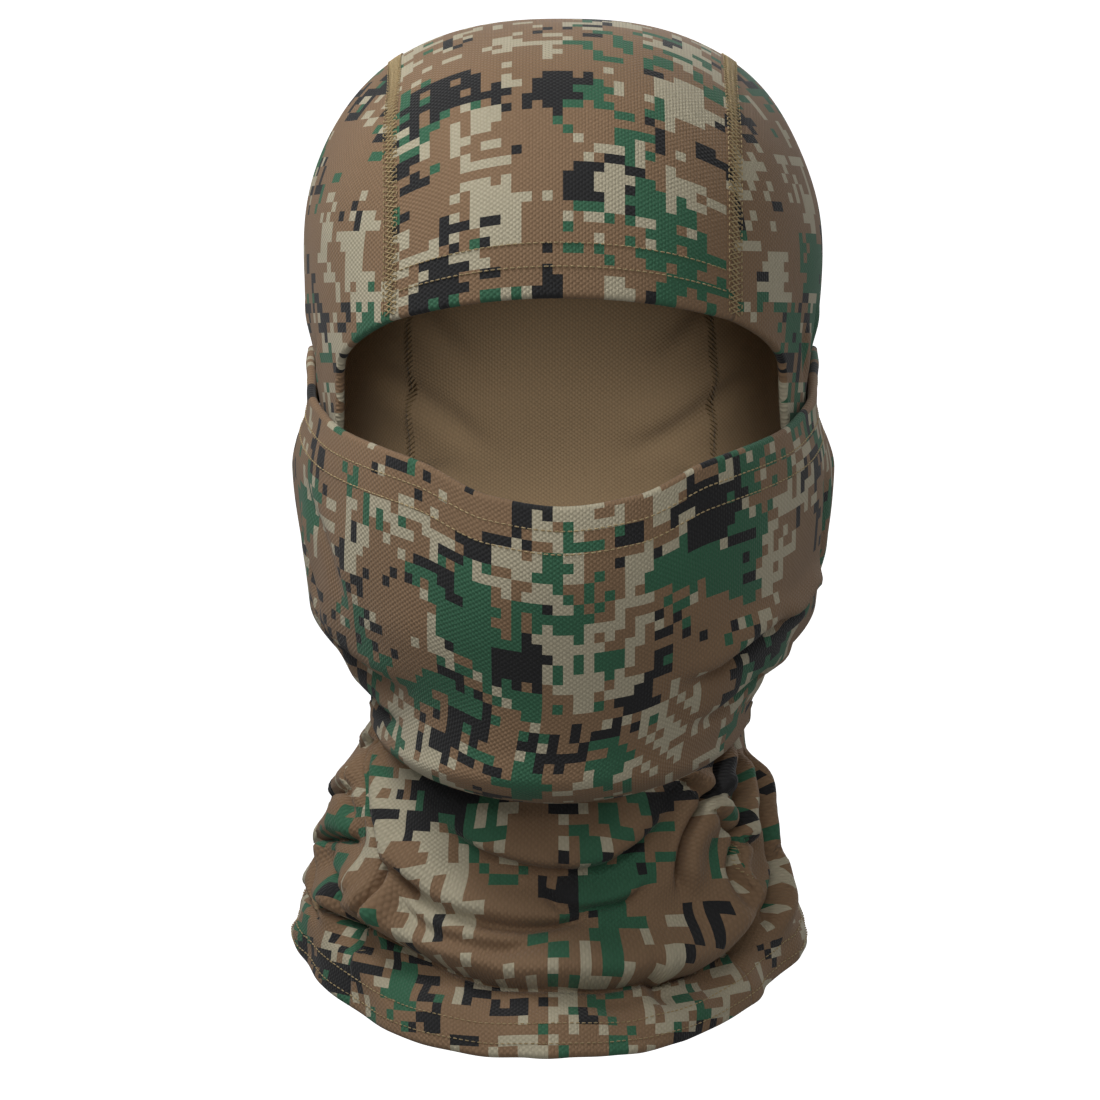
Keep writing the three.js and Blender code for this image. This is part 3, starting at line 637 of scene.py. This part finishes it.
def round_distance(body, angle, z):
    """Distance round the section from the face, for each angle and height."""
    levels = np.linspace(LOWEST, 115, 106)
    table = np.array([travelled(on_section(body, np.arange(181.0), level)) for level in levels])
    a = np.clip(np.abs(angle), 0, 179.999)
    r = np.clip((z - levels[0]) / (levels[1] - levels[0]), 0, len(levels) - 1.001)
    i, j = r.astype(int), a.astype(int)
    f, g = r - i, a - j
    distance = (table[i, j] * (1 - f) * (1 - g) + table[i + 1, j] * f * (1 - g)
                + table[i, j + 1] * (1 - f) * g + table[i + 1, j + 1] * f * g)
    return np.sign(angle) * distance


def side_length(z):
    """Distance down the side of the hood from the ear line, by height."""
    levels = np.linspace(LOWEST, 115.9, 700)
    length = travelled(np.stack([hood.width(levels), levels], -1))
    return np.interp(z, levels, length) - np.interp(0, levels, length)


# ---- the sheets
def rows_from(start):
    """Shares of the way down a panel, closer together above the ears."""
    return np.concatenate([np.linspace(start, OVER_SHARE, 241), np.linspace(OVER_SHARE, 1, 121)[1:]])


def crown_sheet():
    x = np.linspace(-CROWN_HALF_STRIP, CROWN_HALF_STRIP, 69)
    flat = crown_point(x[None], rows_from(0)[:, None])
    length = travelled(flat)
    # the whole row shares one place along the cut, so the print's rows stay level
    along = np.broadcast_to(-length.mean(1, keepdims=True), length.shape)
    cut = np.stack([np.broadcast_to(x, length.shape), along], -1)
    return respaced(cloth_grid(on_hood(flat), cut), turned_edge(BROW_HEM), turned_edge(NECK_HEM))


# Where each piece is cut from the printed cloth.
SIDE_CUT_PLACE, NECK_CUT_PLACE, MASK_CUT_PLACE, SEAM_CUT_PLACE = 300, 700, 1100, 1500


def side_sheet(side):
    flat = side_point(side, np.linspace(0, 1, 105)[None], rows_from(0.003)[:, None])
    angle = np.degrees(np.arctan2(side * flat[..., 0], -flat[..., 1]))
    z = flat[..., 2]
    around = round_distance(hood, angle, z) - round_distance(hood, 90 + 0 * z, z)
    cut = np.stack([side * around, side_length(z)], -1)
    grid = cloth_grid(on_hood(flat), cut + np.array([side * SIDE_CUT_PLACE, 0]))
    grid = respaced(grid, None, turned_edge(NECK_HEM))
    return turn_round(respaced(turn_round(grid), turned_edge(OPENING_TURN), None))


NECK_TUCK, NECK_BEHIND = 7.0, 2.2  # how far the neck's front reaches up behind the mask, and sinks there


def neck_front_point(across, v):
    across, v = spread(across, v)
    angle = across * neck_seam_angle(v)
    chin = np.maximum(chin_share(across * JAW_ANGLE), 0)
    top = lerp(SEAM_TOP, -CHIN_FOLD_DROP - MASK_NECK_GAP, chin**CHIN_POINT) + NECK_TUCK * smooth(2.5 * chin)
    sag = hem_at(angle) - HEM_AT_SEAM
    return on_section(hood, angle, lerp(top, HEM_AT_SEAM, v) + sag * v)


def neck_front_sheet():
    across, v = np.linspace(-1, 1, 121), np.linspace(0, 1, 81)
    flat = neck_front_point(across[None], v[:, None])
    angle = degrees_round(flat)
    cut = np.stack([round_distance(hood, angle, flat[..., 2]), flat[..., 2] - NECK_CUT_PLACE], -1)
    behind = NECK_BEHIND * smooth((NECK_TUCK + MASK_NECK_GAP - flat[:1, :, 2] + flat[..., 2]) / 4)
    points = on_hood(flat) - normals(hood, flat) * behind[..., None]
    return respaced(cloth_grid(points, cut), None, turned_edge(NECK_HEM), step=1.1)


def mask_sheet():
    across, v = np.linspace(-1, 1, 221), np.linspace(0, 1, 121)
    points = mask_point(across[None], v[:, None])
    around, down = travelled(points.transpose(1, 0, 2)).T, travelled(points)
    middle = slice(110, 111)
    along = -0.5 * (down + down[:, middle]) - MASK_CUT_PLACE
    cut = np.stack([around - around[:, middle], along], -1)
    return respaced(cloth_grid(points, cut), turned_edge(MASK_HEM), None, step=1.3)


def mask_seam_sheet(side):
    """The mask's side allowance, turned in against the hood's cheek."""
    inset = np.linspace(0.4, ALLOWANCE, 6) / (2 * HEAD_HALF_WIDTH * math.radians(ANCHOR_ANGLE))
    v = np.linspace(0.02, 1 - TURN_SHARE, 71)
    points = mask_point(side * (1 - 2 * inset[None]), v[:, None])
    cut = np.stack(np.broadcast_arrays(inset[None] * 300, v[:, None] * 105), -1)
    grid = cloth_grid(points, cut + SEAM_CUT_PLACE)
    grid[..., -1] = 2 * TURN_RADIUS
    return respaced(grid)


def cloth_sheet(name, grid, chunks):
    """A sheet of cloth with two faces. chunks is the number of strips of rows in its layout."""
    middle, flat = grid[..., :3] - grid[..., 3:6] * (grid[..., -1:] + HALF_CLOTH), grid[..., -3:-1]
    rows, columns = middle.shape[:2]
    n = grid_normals(middle)
    half = (CLOTH - 0.1) / 2
    outer, inner = middle + n * half, middle - n * half
    count = rows * columns
    index = np.arange(count).reshape(rows, columns)
    a, b, c, d = index[:-1, :-1], index[:-1, 1:], index[1:, 1:], index[1:, :-1]
    quads = np.stack([a, b, c, d], -1).reshape(-1, 4)
    mid = (rows // 2, columns // 2)
    test = np.cross(middle[mid[0], mid[1] + 1] - middle[mid], middle[mid[0] + 1, mid[1]] - middle[mid])
    outward = (test * n[mid]).sum() > 0
    front, back = (quads, quads[:, ::-1] + count) if outward else (quads[:, ::-1], quads + count)
    ring = np.concatenate([index[0, :-1], index[:-1, -1], index[-1, :0:-1], index[:0:-1, 0]])
    after = np.roll(ring, -1)
    rim = np.stack([after, ring, ring + count, after + count], -1)
    if not outward:
        rim = rim[:, ::-1]
    faces = np.concatenate([front, back, rim])
    slots = np.concatenate([np.zeros(len(front)), np.ones(len(back) + len(rim))])
    piece = mesh_object(name, np.concatenate([outer, inner]), faces.tolist(), [camo, reverse], slots)
    # where each point lies on the cut, for the print and the knit
    corner = faces.reshape(-1) % count
    cut = piece.data.uv_layers.new(name="Cut")
    cut.data.foreach_set("uv", (flat.reshape(-1, 2)[corner] / 1000).astype(np.float32).reshape(-1))
    # a layout with no overlaps: strips of rows for the front, strips for the back, and a row for the rim
    row, column = np.divmod(np.arange(count), columns)
    per = math.ceil((rows - 1) / chunks)

    def layout(quad_rows, corner_rows, corner_columns, low, high):
        strip = quad_rows // per
        x = (strip + 0.01 + 0.98 * corner_columns / (columns - 1)) / chunks
        y = lerp(low, high, 0.005 + 0.99 * (corner_rows - strip * per) / per)
        return np.stack([x, y], -1)

    quad_row = np.repeat(np.repeat(np.arange(rows - 1), columns - 1), 4)
    parts = [
        layout(quad_row, row[front.reshape(-1)], column[front.reshape(-1)], 0.0, 0.7),
        layout(quad_row, row[back.reshape(-1) - count], column[back.reshape(-1) - count], 0.71, 0.96),
    ]
    along = np.repeat(np.arange(len(rim)), 4) / len(rim)
    corners = [[1, 0], [0, 0], [0, 1], [1, 1]] if outward else [[1, 1], [0, 1], [0, 0], [1, 0]]
    local = np.tile(np.array(corners, float), (len(rim), 1))
    across = along + 1 / len(rim) * (0.05 + 0.9 * local[:, 0])
    parts.append(np.stack([across, 0.97 + 0.02 * local[:, 1]], -1))
    bake = piece.data.uv_layers.new(name="OFBake")
    bake.data.foreach_set("uv", np.concatenate(parts).astype(np.float32).reshape(-1))
    return piece


# ---- thread
def thread_bead(long, wide, high):
    """One stitch, its ends sunk, lying along X with its top up Z."""
    bpy.ops.object.select_all(action="DESELECT")
    bpy.ops.mesh.primitive_uv_sphere_add(segments=6, ring_count=6, radius=0.5, rotation=(0, math.pi / 2, 0))
    bead = bpy.context.object
    bpy.ops.object.transform_apply(location=True, rotation=True, scale=True)
    bpy.ops.object.mode_set(mode="EDIT")
    bpy.ops.mesh.select_all(action="SELECT")
    bpy.ops.transform.resize(value=(long, wide, 2 * high))
    bpy.ops.object.mode_set(mode="OBJECT")
    mesh = bead.data
    points = np.array([v.co for v in mesh.vertices])
    faces = sorted(list(f.vertices) for f in mesh.polygons)
    bpy.data.objects.remove(bead)
    bpy.data.meshes.remove(mesh)
    # the stitch keeps its full width for longer towards its ends
    t = 2 * points[:, 0] / long
    points[:, 1:] *= np.minimum(1.45, 1 + 0.45 * t**2)[:, None]
    return points, faces


def evenly(path, pitch, shake, seed):
    """Places along a path (a list of points with other channels) at an even pitch, with their directions."""
    length = travelled(path[:, :3])
    count = max(2, int(length[-1] / pitch))
    at = np.linspace(pitch / 2, length[-1] - pitch / 2, count)
    at = at + np.random.default_rng(seed).uniform(-shake, shake, count)
    sample = lambda s: np.stack([np.interp(s, length, path[:, k]) for k in range(path.shape[1])], -1)
    ahead = sample(at + 0.3)[:, :3] - sample(at - 0.3)[:, :3]
    return sample(at), ahead


def path_on(surface, left, right):
    """A path with its across direction, from two lines on a surface a little apart."""
    a, b = surface(left), surface(right)
    return np.concatenate([(a + b) / 2, b - a], -1)


def unit(vectors):
    return vectors / np.linalg.norm(vectors, axis=-1, keepdims=True)


def stitches(name, path, pitch, bead, material, shake=0.1, seed=1, slant=0):
    """One piece of thread: a copy of the stitch at each place along a path, turned by its slant."""
    at, ahead = evenly(path, pitch, shake, seed)
    across, ahead = unit(at[:, 3:6]), unit(ahead)
    turn = math.radians(slant)
    along = unit(ahead * math.cos(turn) + across * math.sin(turn))
    up = unit(np.cross(along, across * math.cos(turn) - ahead * math.sin(turn)))
    side = np.cross(up, along)
    points, faces = bead
    copies = (at[:, None, :3] + points[None, :, :1] * along[:, None] + points[None, :, 1:2] * side[:, None]
              + points[None, :, 2:] * up[:, None])
    copied = [[i + k * len(points) for i in f] for k in range(len(at)) for f in faces]
    return mesh_object(name, copies, copied, [material])


# ---- finishes
def shade(code):
    """A hex colour as the linear numbers that a shader takes."""
    parts = [int(code[i : i + 2], 16) / 255 for i in (0, 2, 4)]
    return tuple(p / 12.92 if p <= 0.04045 else ((p + 0.055) / 1.055) ** 2.4 for p in parts) + (1.0,)


def operation(kind):
    return lambda self, *others: self.math(kind, *others)


class Value:
    """A number that changes over a surface, with Python's own arithmetic."""

    def __init__(self, finish, socket):
        self.finish, self.socket = finish, socket

    def math(self, kind, *others):
        made = self.finish.node("ShaderNodeMath", {"operation": kind}, self, *others)
        return Value(self.finish, made.outputs[0])

    __add__, __sub__, __mul__ = operation("ADD"), operation("SUBTRACT"), operation("MULTIPLY")
    __gt__, most = operation("GREATER_THAN"), operation("MAXIMUM")
    wave, size, whole = operation("SINE"), operation("ABSOLUTE"), operation("FLOOR")


class Finish:
    """A material and its nodes."""

    def __init__(self, name, roughness, sheen=0.0):
        self.material = bpy.data.materials.new(name)
        self.material.use_nodes = True
        self.tree = self.material.node_tree
        self.shader = self.tree.nodes["Principled BSDF"]
        for name, value in (("Roughness", roughness), ("Specular IOR Level", 0.25),
                            ("Sheen Weight", sheen), ("Sheen Roughness", 0.5)):
            self.shader.inputs[name].default_value = value

    def node(self, kind, settings=None, *values, **named):
        made = self.tree.nodes.new(kind)
        for setting, choice in (settings or {}).items():
            setattr(made, setting, choice)
        for slot, value in list(enumerate(values)) + list(named.items()):
            socket = made.inputs[slot.replace("_", " ")] if isinstance(slot, str) else made.inputs[slot]
            self.feed(socket, value)
        return made

    def feed(self, socket, value):
        if isinstance(value, Value):
            value = value.socket
        if isinstance(value, bpy.types.NodeSocket):
            self.tree.links.new(value, socket)
        else:
            socket.default_value = value

    def number(self, socket):
        return Value(self, socket)

    def vector(self, operation, *values, **named):
        return self.node("ShaderNodeVectorMath", {"operation": operation}, *values, **named).outputs[0]

    def mix(self, factor, under, over):
        made = self.node("ShaderNodeMix", {"data_type": "RGBA"})
        for slot, value in ((0, factor), (6, under), (7, over)):
            self.feed(made.inputs[slot], value)
        return made.outputs[2]

    def noise(self, vector, scale, detail):
        made = self.node("ShaderNodeTexNoise", None, Vector=vector, Scale=scale, Detail=detail, Roughness=0.5)
        return self.number(made.outputs["Fac"])

    def chance(self, vector):
        return self.number(self.node("ShaderNodeTexWhiteNoise", None, Vector=vector).outputs["Value"])

    def cut(self):
        """The place on the flat cut cloth, in metres."""
        return self.node("ShaderNodeUVMap", {"uv_map": "Cut"}).outputs[0]

    def parts(self, vector):
        made = self.node("ShaderNodeSeparateXYZ", None, vector)
        return [self.number(socket) for socket in made.outputs]

    def bump(self, height, distance, strength=1.0):
        made = self.node("ShaderNodeBump", None, Height=height, Distance=distance, Strength=strength)
        self.feed(self.shader.inputs["Normal"], made.outputs[0])


WALE = 0.00095  # one column of the knit, in metres
COURSE = 0.0014  # two rows of its loops
PRINT_CELL = 0.00296  # one square of the print
PI = math.pi


def knit(finish, cut):
    """The height of the knit's ribs and loops, from 0 to 1."""
    across, along, _ = finish.parts(cut)
    rib = (across * (PI / WALE)).wave().size()
    column = (across * (1 / WALE)).whole()
    loop = (along * (2 * PI / COURSE) + column * PI).wave() * 0.5 + 0.5
    return (rib * 0.6 + 0.4) * (loop * 0.7 + 0.3)


def camo_cloth():
    finish = Finish("camo_cloth", 0.82, 0.12)
    cut = finish.cut()
    # the print is made of whole squares
    square = finish.vector("FLOOR", finish.vector("SCALE", cut, Scale=1 / PRINT_CELL))

    def strokes(seed, stretch):
        """Bars that run along or down the cloth."""
        place = finish.vector("MULTIPLY_ADD", square, stretch, (seed * 7.3, seed * 3.1, seed * 1.7))
        return finish.noise(place, 1.0, 1.0)

    def zone(seed, size):
        """Where on the cloth a colour gathers."""
        place = finish.vector("MULTIPLY_ADD", square, (size, size, 1.0), (seed * 5.9, seed * 2.3, seed * 4.1))
        return finish.noise(place, 1.0, 2.0)

    def speck(seed):
        """Single squares added to a figure's edges."""
        return finish.chance(finish.vector("ADD", square, (seed, seed * 2.0, 0.0)))

    def figure(seed, zone_size, zone_weight, level, long, short, grain):
        """1 where a colour's figures lie."""
        bars = strokes(seed, (long, short, 1.0)).most(strokes(seed, (short, long, 1.0)))
        place = (zone(seed + 1, zone_size) - 0.5) * zone_weight
        return bars + place + (speck(seed) - 0.5) * grain > level

    tan = figure(11, 0.122, 1.2, 0.645, 0.26, 0.93, 0.2)
    green = figure(23, 0.104, 1.6, 0.72, 0.25, 0.63, 0.2)
    black = figure(37, 0.127, 1.8, 0.77, 0.23, 0.71, 0.2)
    worn = finish.noise(cut, 22.0, 3.0) * 0.16 + 0.92
    brown = finish.mix(finish.noise(cut, 9.0, 2.0), shade("886d53"), shade("95795d"))
    colour = finish.mix(tan, brown, shade("bdb49b"))
    colour = finish.mix(green, colour, shade("3d6d52"))
    colour = finish.mix(black, colour, shade("2a2a2b"))
    loops = knit(finish, cut)
    colour = finish.vector("SCALE", colour, Scale=worn * (loops * 0.16 + 0.92))
    finish.feed(finish.shader.inputs["Base Color"], colour)
    finish.bump(loops, 0.00035, 0.8)
    return finish.material


def cloth_reverse():
    finish = Finish("cloth_reverse", 0.9, 0.1)
    cut = finish.cut()
    loops = knit(finish, cut)
    brown = finish.mix(finish.noise(cut, 14.0, 3.0), shade("8a7457"), shade("998264"))
    finish.feed(finish.shader.inputs["Base Color"], finish.vector("SCALE", brown, Scale=loops * 0.2 + 0.88))
    finish.bump(loops, 0.0003, 0.7)
    return finish.material


def khaki_thread(name, light, dark):
    finish = Finish(name, 0.6, 0.1)
    place = finish.node("ShaderNodeTexCoord").outputs["Object"]
    x, y, z = finish.parts(place)
    twist = ((x + y + z) * (2 * PI / 0.0006)).wave() * 0.5 + 0.5
    colour = finish.mix(finish.noise(place, 900.0, 2.0), shade(dark), shade(light))
    finish.feed(finish.shader.inputs["Base Color"], finish.vector("SCALE", colour, Scale=twist * 0.15 + 0.88))
    finish.bump(twist, 0.0001, 0.6)
    return finish.material


def plain(name, code, glow):
    finish = Finish(name, 0.9)
    finish.shader.inputs["Base Color"].default_value = shade(code)
    finish.shader.inputs["Emission Color"].default_value = shade("ffffff")
    finish.shader.inputs["Emission Strength"].default_value = glow
    return finish.material


# ---- the object
camo, reverse = camo_cloth(), cloth_reverse()
thread = khaki_thread("khaki_thread", "c2ac82", "ab956c")
inner_thread = khaki_thread("inner_thread", "84704f", "75613f")


def finish_sheet(name, grid, chunks, nodes):
    piece = cloth_sheet(name, grid, chunks)
    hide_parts(*nodes)
    return piece


def blend_mask(piece):
    """The mask piece, with its placement baked into its mesh."""
    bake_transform(piece)


crown = finish_sheet("crown_sheet", crown_sheet(), 3, ["crown_panel", "brow_hem_fold"])
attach(crown, "hood")
for name, side in (("left", 1), ("right", -1)):
    piece = finish_sheet(f"{name}_side_sheet", side_sheet(side), 2, [f"{name}_side_panel"])
    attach(piece, "hood")
neck_front = finish_sheet("neck_front_sheet", neck_front_sheet(), 1, ["neck_front_panel", "neck_hem_fold"])
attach(neck_front, "hood")
mask_piece = finish_sheet("mask_sheet", mask_sheet(), 2, ["face_mask_panel", "mask_hem_fold"])
blend_mask(mask_piece)
for name, side in (("left", 1), ("right", -1)):
    piece = cloth_sheet(f"{name}_mask_seam_sheet", mask_seam_sheet(side), 1)
    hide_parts(f"{name}_mask_seam")
    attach(piece, "hood")

# rows of stitches
STITCH = thread_bead(1.45, 0.42, 0.32)
FINE_STITCH = thread_bead(1.25, 0.34, 0.26)
COVER_THREAD = thread_bead(4.9, 0.4, 0.34)


def thread_for(piece, node):
    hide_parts(node)
    return piece


brow_x = np.linspace(-1, 1, 121) * (CROWN_HALF_STRIP - FLATLOCK / 2 - 0.4)
brow_line = lambda d: on_hood(on_crown(brow_x, brow_turn(brow_x) + np.degrees(d / HEAD_FRONT)), -0.12)
for name, distance in zip(("lower", "upper"), BROW_ROWS):
    path = path_on(brow_line, distance + 0.5, distance - 0.5)
    piece = thread_for(stitches(f"brow_stitches_{name}", path, 1.9, STITCH, thread), f"brow_stitch_{name}")
    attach(piece, "hood")

across_mask = np.linspace(-0.98, 0.98, 401)


def mask_line(distance):
    top, bottom, fold = mask_limits(across_mask)
    return mask_point(across_mask, (1 - TURN_SHARE) * distance / (top - bottom - fold))


for name, distance in zip(("upper", "lower"), MASK_ROWS):
    path = path_on(mask_line, distance - 0.5, distance + 0.5)
    piece = thread_for(stitches(f"mask_stitches_{name}", path, 1.9, STITCH, thread), f"mask_stitch_{name}")
    blend_mask(piece)

ring = np.linspace(-180, 180, 1441)
hem_line = lambda d: on_hood(on_section(hood, ring, hem_at(ring) + d), -0.1)
for name, distance in zip(("lower", "upper"), NECK_ROWS):
    path = path_on(hem_line, distance + 0.5, distance - 0.5)
    piece = thread_for(stitches(f"neck_stitches_{name}", path, 1.8, FINE_STITCH, thread), f"neck_stitch_{name}")
    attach(piece, "hood")


def overlock(name, line, node):
    """A seam whose thread only shows inside."""
    piece = stitches(name, path_on(line(CLOTH + 0.15), -0.5, 0.5), 1.4, COVER_THREAD, thread, 0.1, 9, 64)
    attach(thread_for(piece, node), "hood")


def flatlock(name, line, node):
    """A flatlocked seam: slanted cover threads between two rows of stitches, and slanted threads inside."""
    middle = path_on(line(-0.12), -0.5, 0.5)
    rows = []
    for slant, seed in ((62, 4), (-62, 5)):
        rows.append(stitches(name, middle, 1.55, COVER_THREAD, thread, 0.12, seed, slant))
    for edge in (-0.42, 0.42):
        path = path_on(line(-0.22), edge * FLATLOCK - 0.3, edge * FLATLOCK + 0.3)
        rows.append(stitches(name, path, 1.9, FINE_STITCH, thread, 0.1, 6))
    under = path_on(line(CLOTH + 0.1), -0.5, 0.5)
    rows.append(stitches(name, under, 1.6, COVER_THREAD, inner_thread, 0.1, 9, 58))
    bpy.ops.object.select_all(action="DESELECT")
    for row in rows:
        row.select_set(True)
    bpy.context.view_layer.objects.active = rows[0]
    bpy.ops.object.join()
    piece = rows[0]
    piece.name = name
    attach(thread_for(piece, node), "hood")


def crown_seam_line(side, depth):
    share = np.linspace(0.003, 0.997, 700)
    return lambda off: on_hood(crown_point(CROWN_HALF_STRIP + off, share) * np.array([side, 1, 1]), depth)


def neck_seam_line(side, depth):
    t = np.linspace(0.06, 0.98, 160)
    angle = lambda off: side * (neck_seam_angle(t) + np.degrees(off / NECK_HALF_WIDTH))
    return lambda off: on_hood(on_section(hood, angle(off), neck_seam_height(t)), depth)


for name, side in (("left", 1), ("right", -1)):
    flatlock(f"{name}_crown_flatlock", lambda depth: crown_seam_line(side, depth), f"{name}_crown_seam")
    overlock(f"{name}_neck_overlock", lambda depth: neck_seam_line(side, depth), f"{name}_neck_seam")


# ---- the setting
def aimed(place, aim):
    return mathutils.Vector(millimetres(*aim) - millimetres(*place)).to_track_quat("-Z", "Y").to_euler()


def area_light(name, place, size, power):
    lamp = bpy.data.lights.new(name, "AREA")
    lamp.shape, lamp.size, lamp.energy = "DISK", size, power
    light = bpy.data.objects.new(name, lamp)
    scene.collection.objects.link(light)
    light.location = millimetres(*place)
    light.rotation_euler = aimed(place, (0, 0, -40))


world = bpy.data.worlds.new("studio")
world.use_nodes = True
sky = world.node_tree.nodes["Background"].inputs
sky["Color"].default_value = (1, 1, 1, 1)
sky["Strength"].default_value = 0.2
scene.world = world
area_light("key", (-335, -240, 490), 0.28, 2.1)
area_light("front", (-150, -1350, 480), 0.8, 3.9)
area_light("behind", (300, 1500, 900), 1.2, 8.0)
area_light("side", (1400, 1100, 500), 1.0, 4.5)
# light that reaches the back of the head through the eye opening
EYES = (-4, -45, -52)
glow = bpy.data.lights.new("inside", "SPOT")
glow.energy, glow.shadow_soft_size = 0.47, 0.012
glow.spot_size, glow.spot_blend = math.radians(76), 1.0
inside = bpy.data.objects.new("inside", glow)
inside.location = millimetres(*EYES)
inside.rotation_euler = aimed(EYES, (-2, 100, -44))
inside.visible_camera = False
scene.collection.objects.link(inside)

bpy.ops.object.select_all(action="DESELECT")
bpy.ops.mesh.primitive_plane_add(size=8, location=(0, 0, -0.9))
floor = bpy.context.object
floor.name = "floor"
floor.data.materials.append(plain("pale_floor", "e8e8e8", 0.55))
floor.visible_diffuse = floor.visible_glossy = False
bpy.ops.object.select_all(action="DESELECT")
bpy.ops.mesh.primitive_cylinder_add(vertices=96, radius=3.4, depth=8, end_fill_type="NOTHING")
wall = bpy.context.object
wall.name = "backdrop"
wall.visible_diffuse = wall.visible_glossy = wall.visible_shadow = False
wall.data.materials.append(plain("white_backdrop", "ffffff", 1.0))
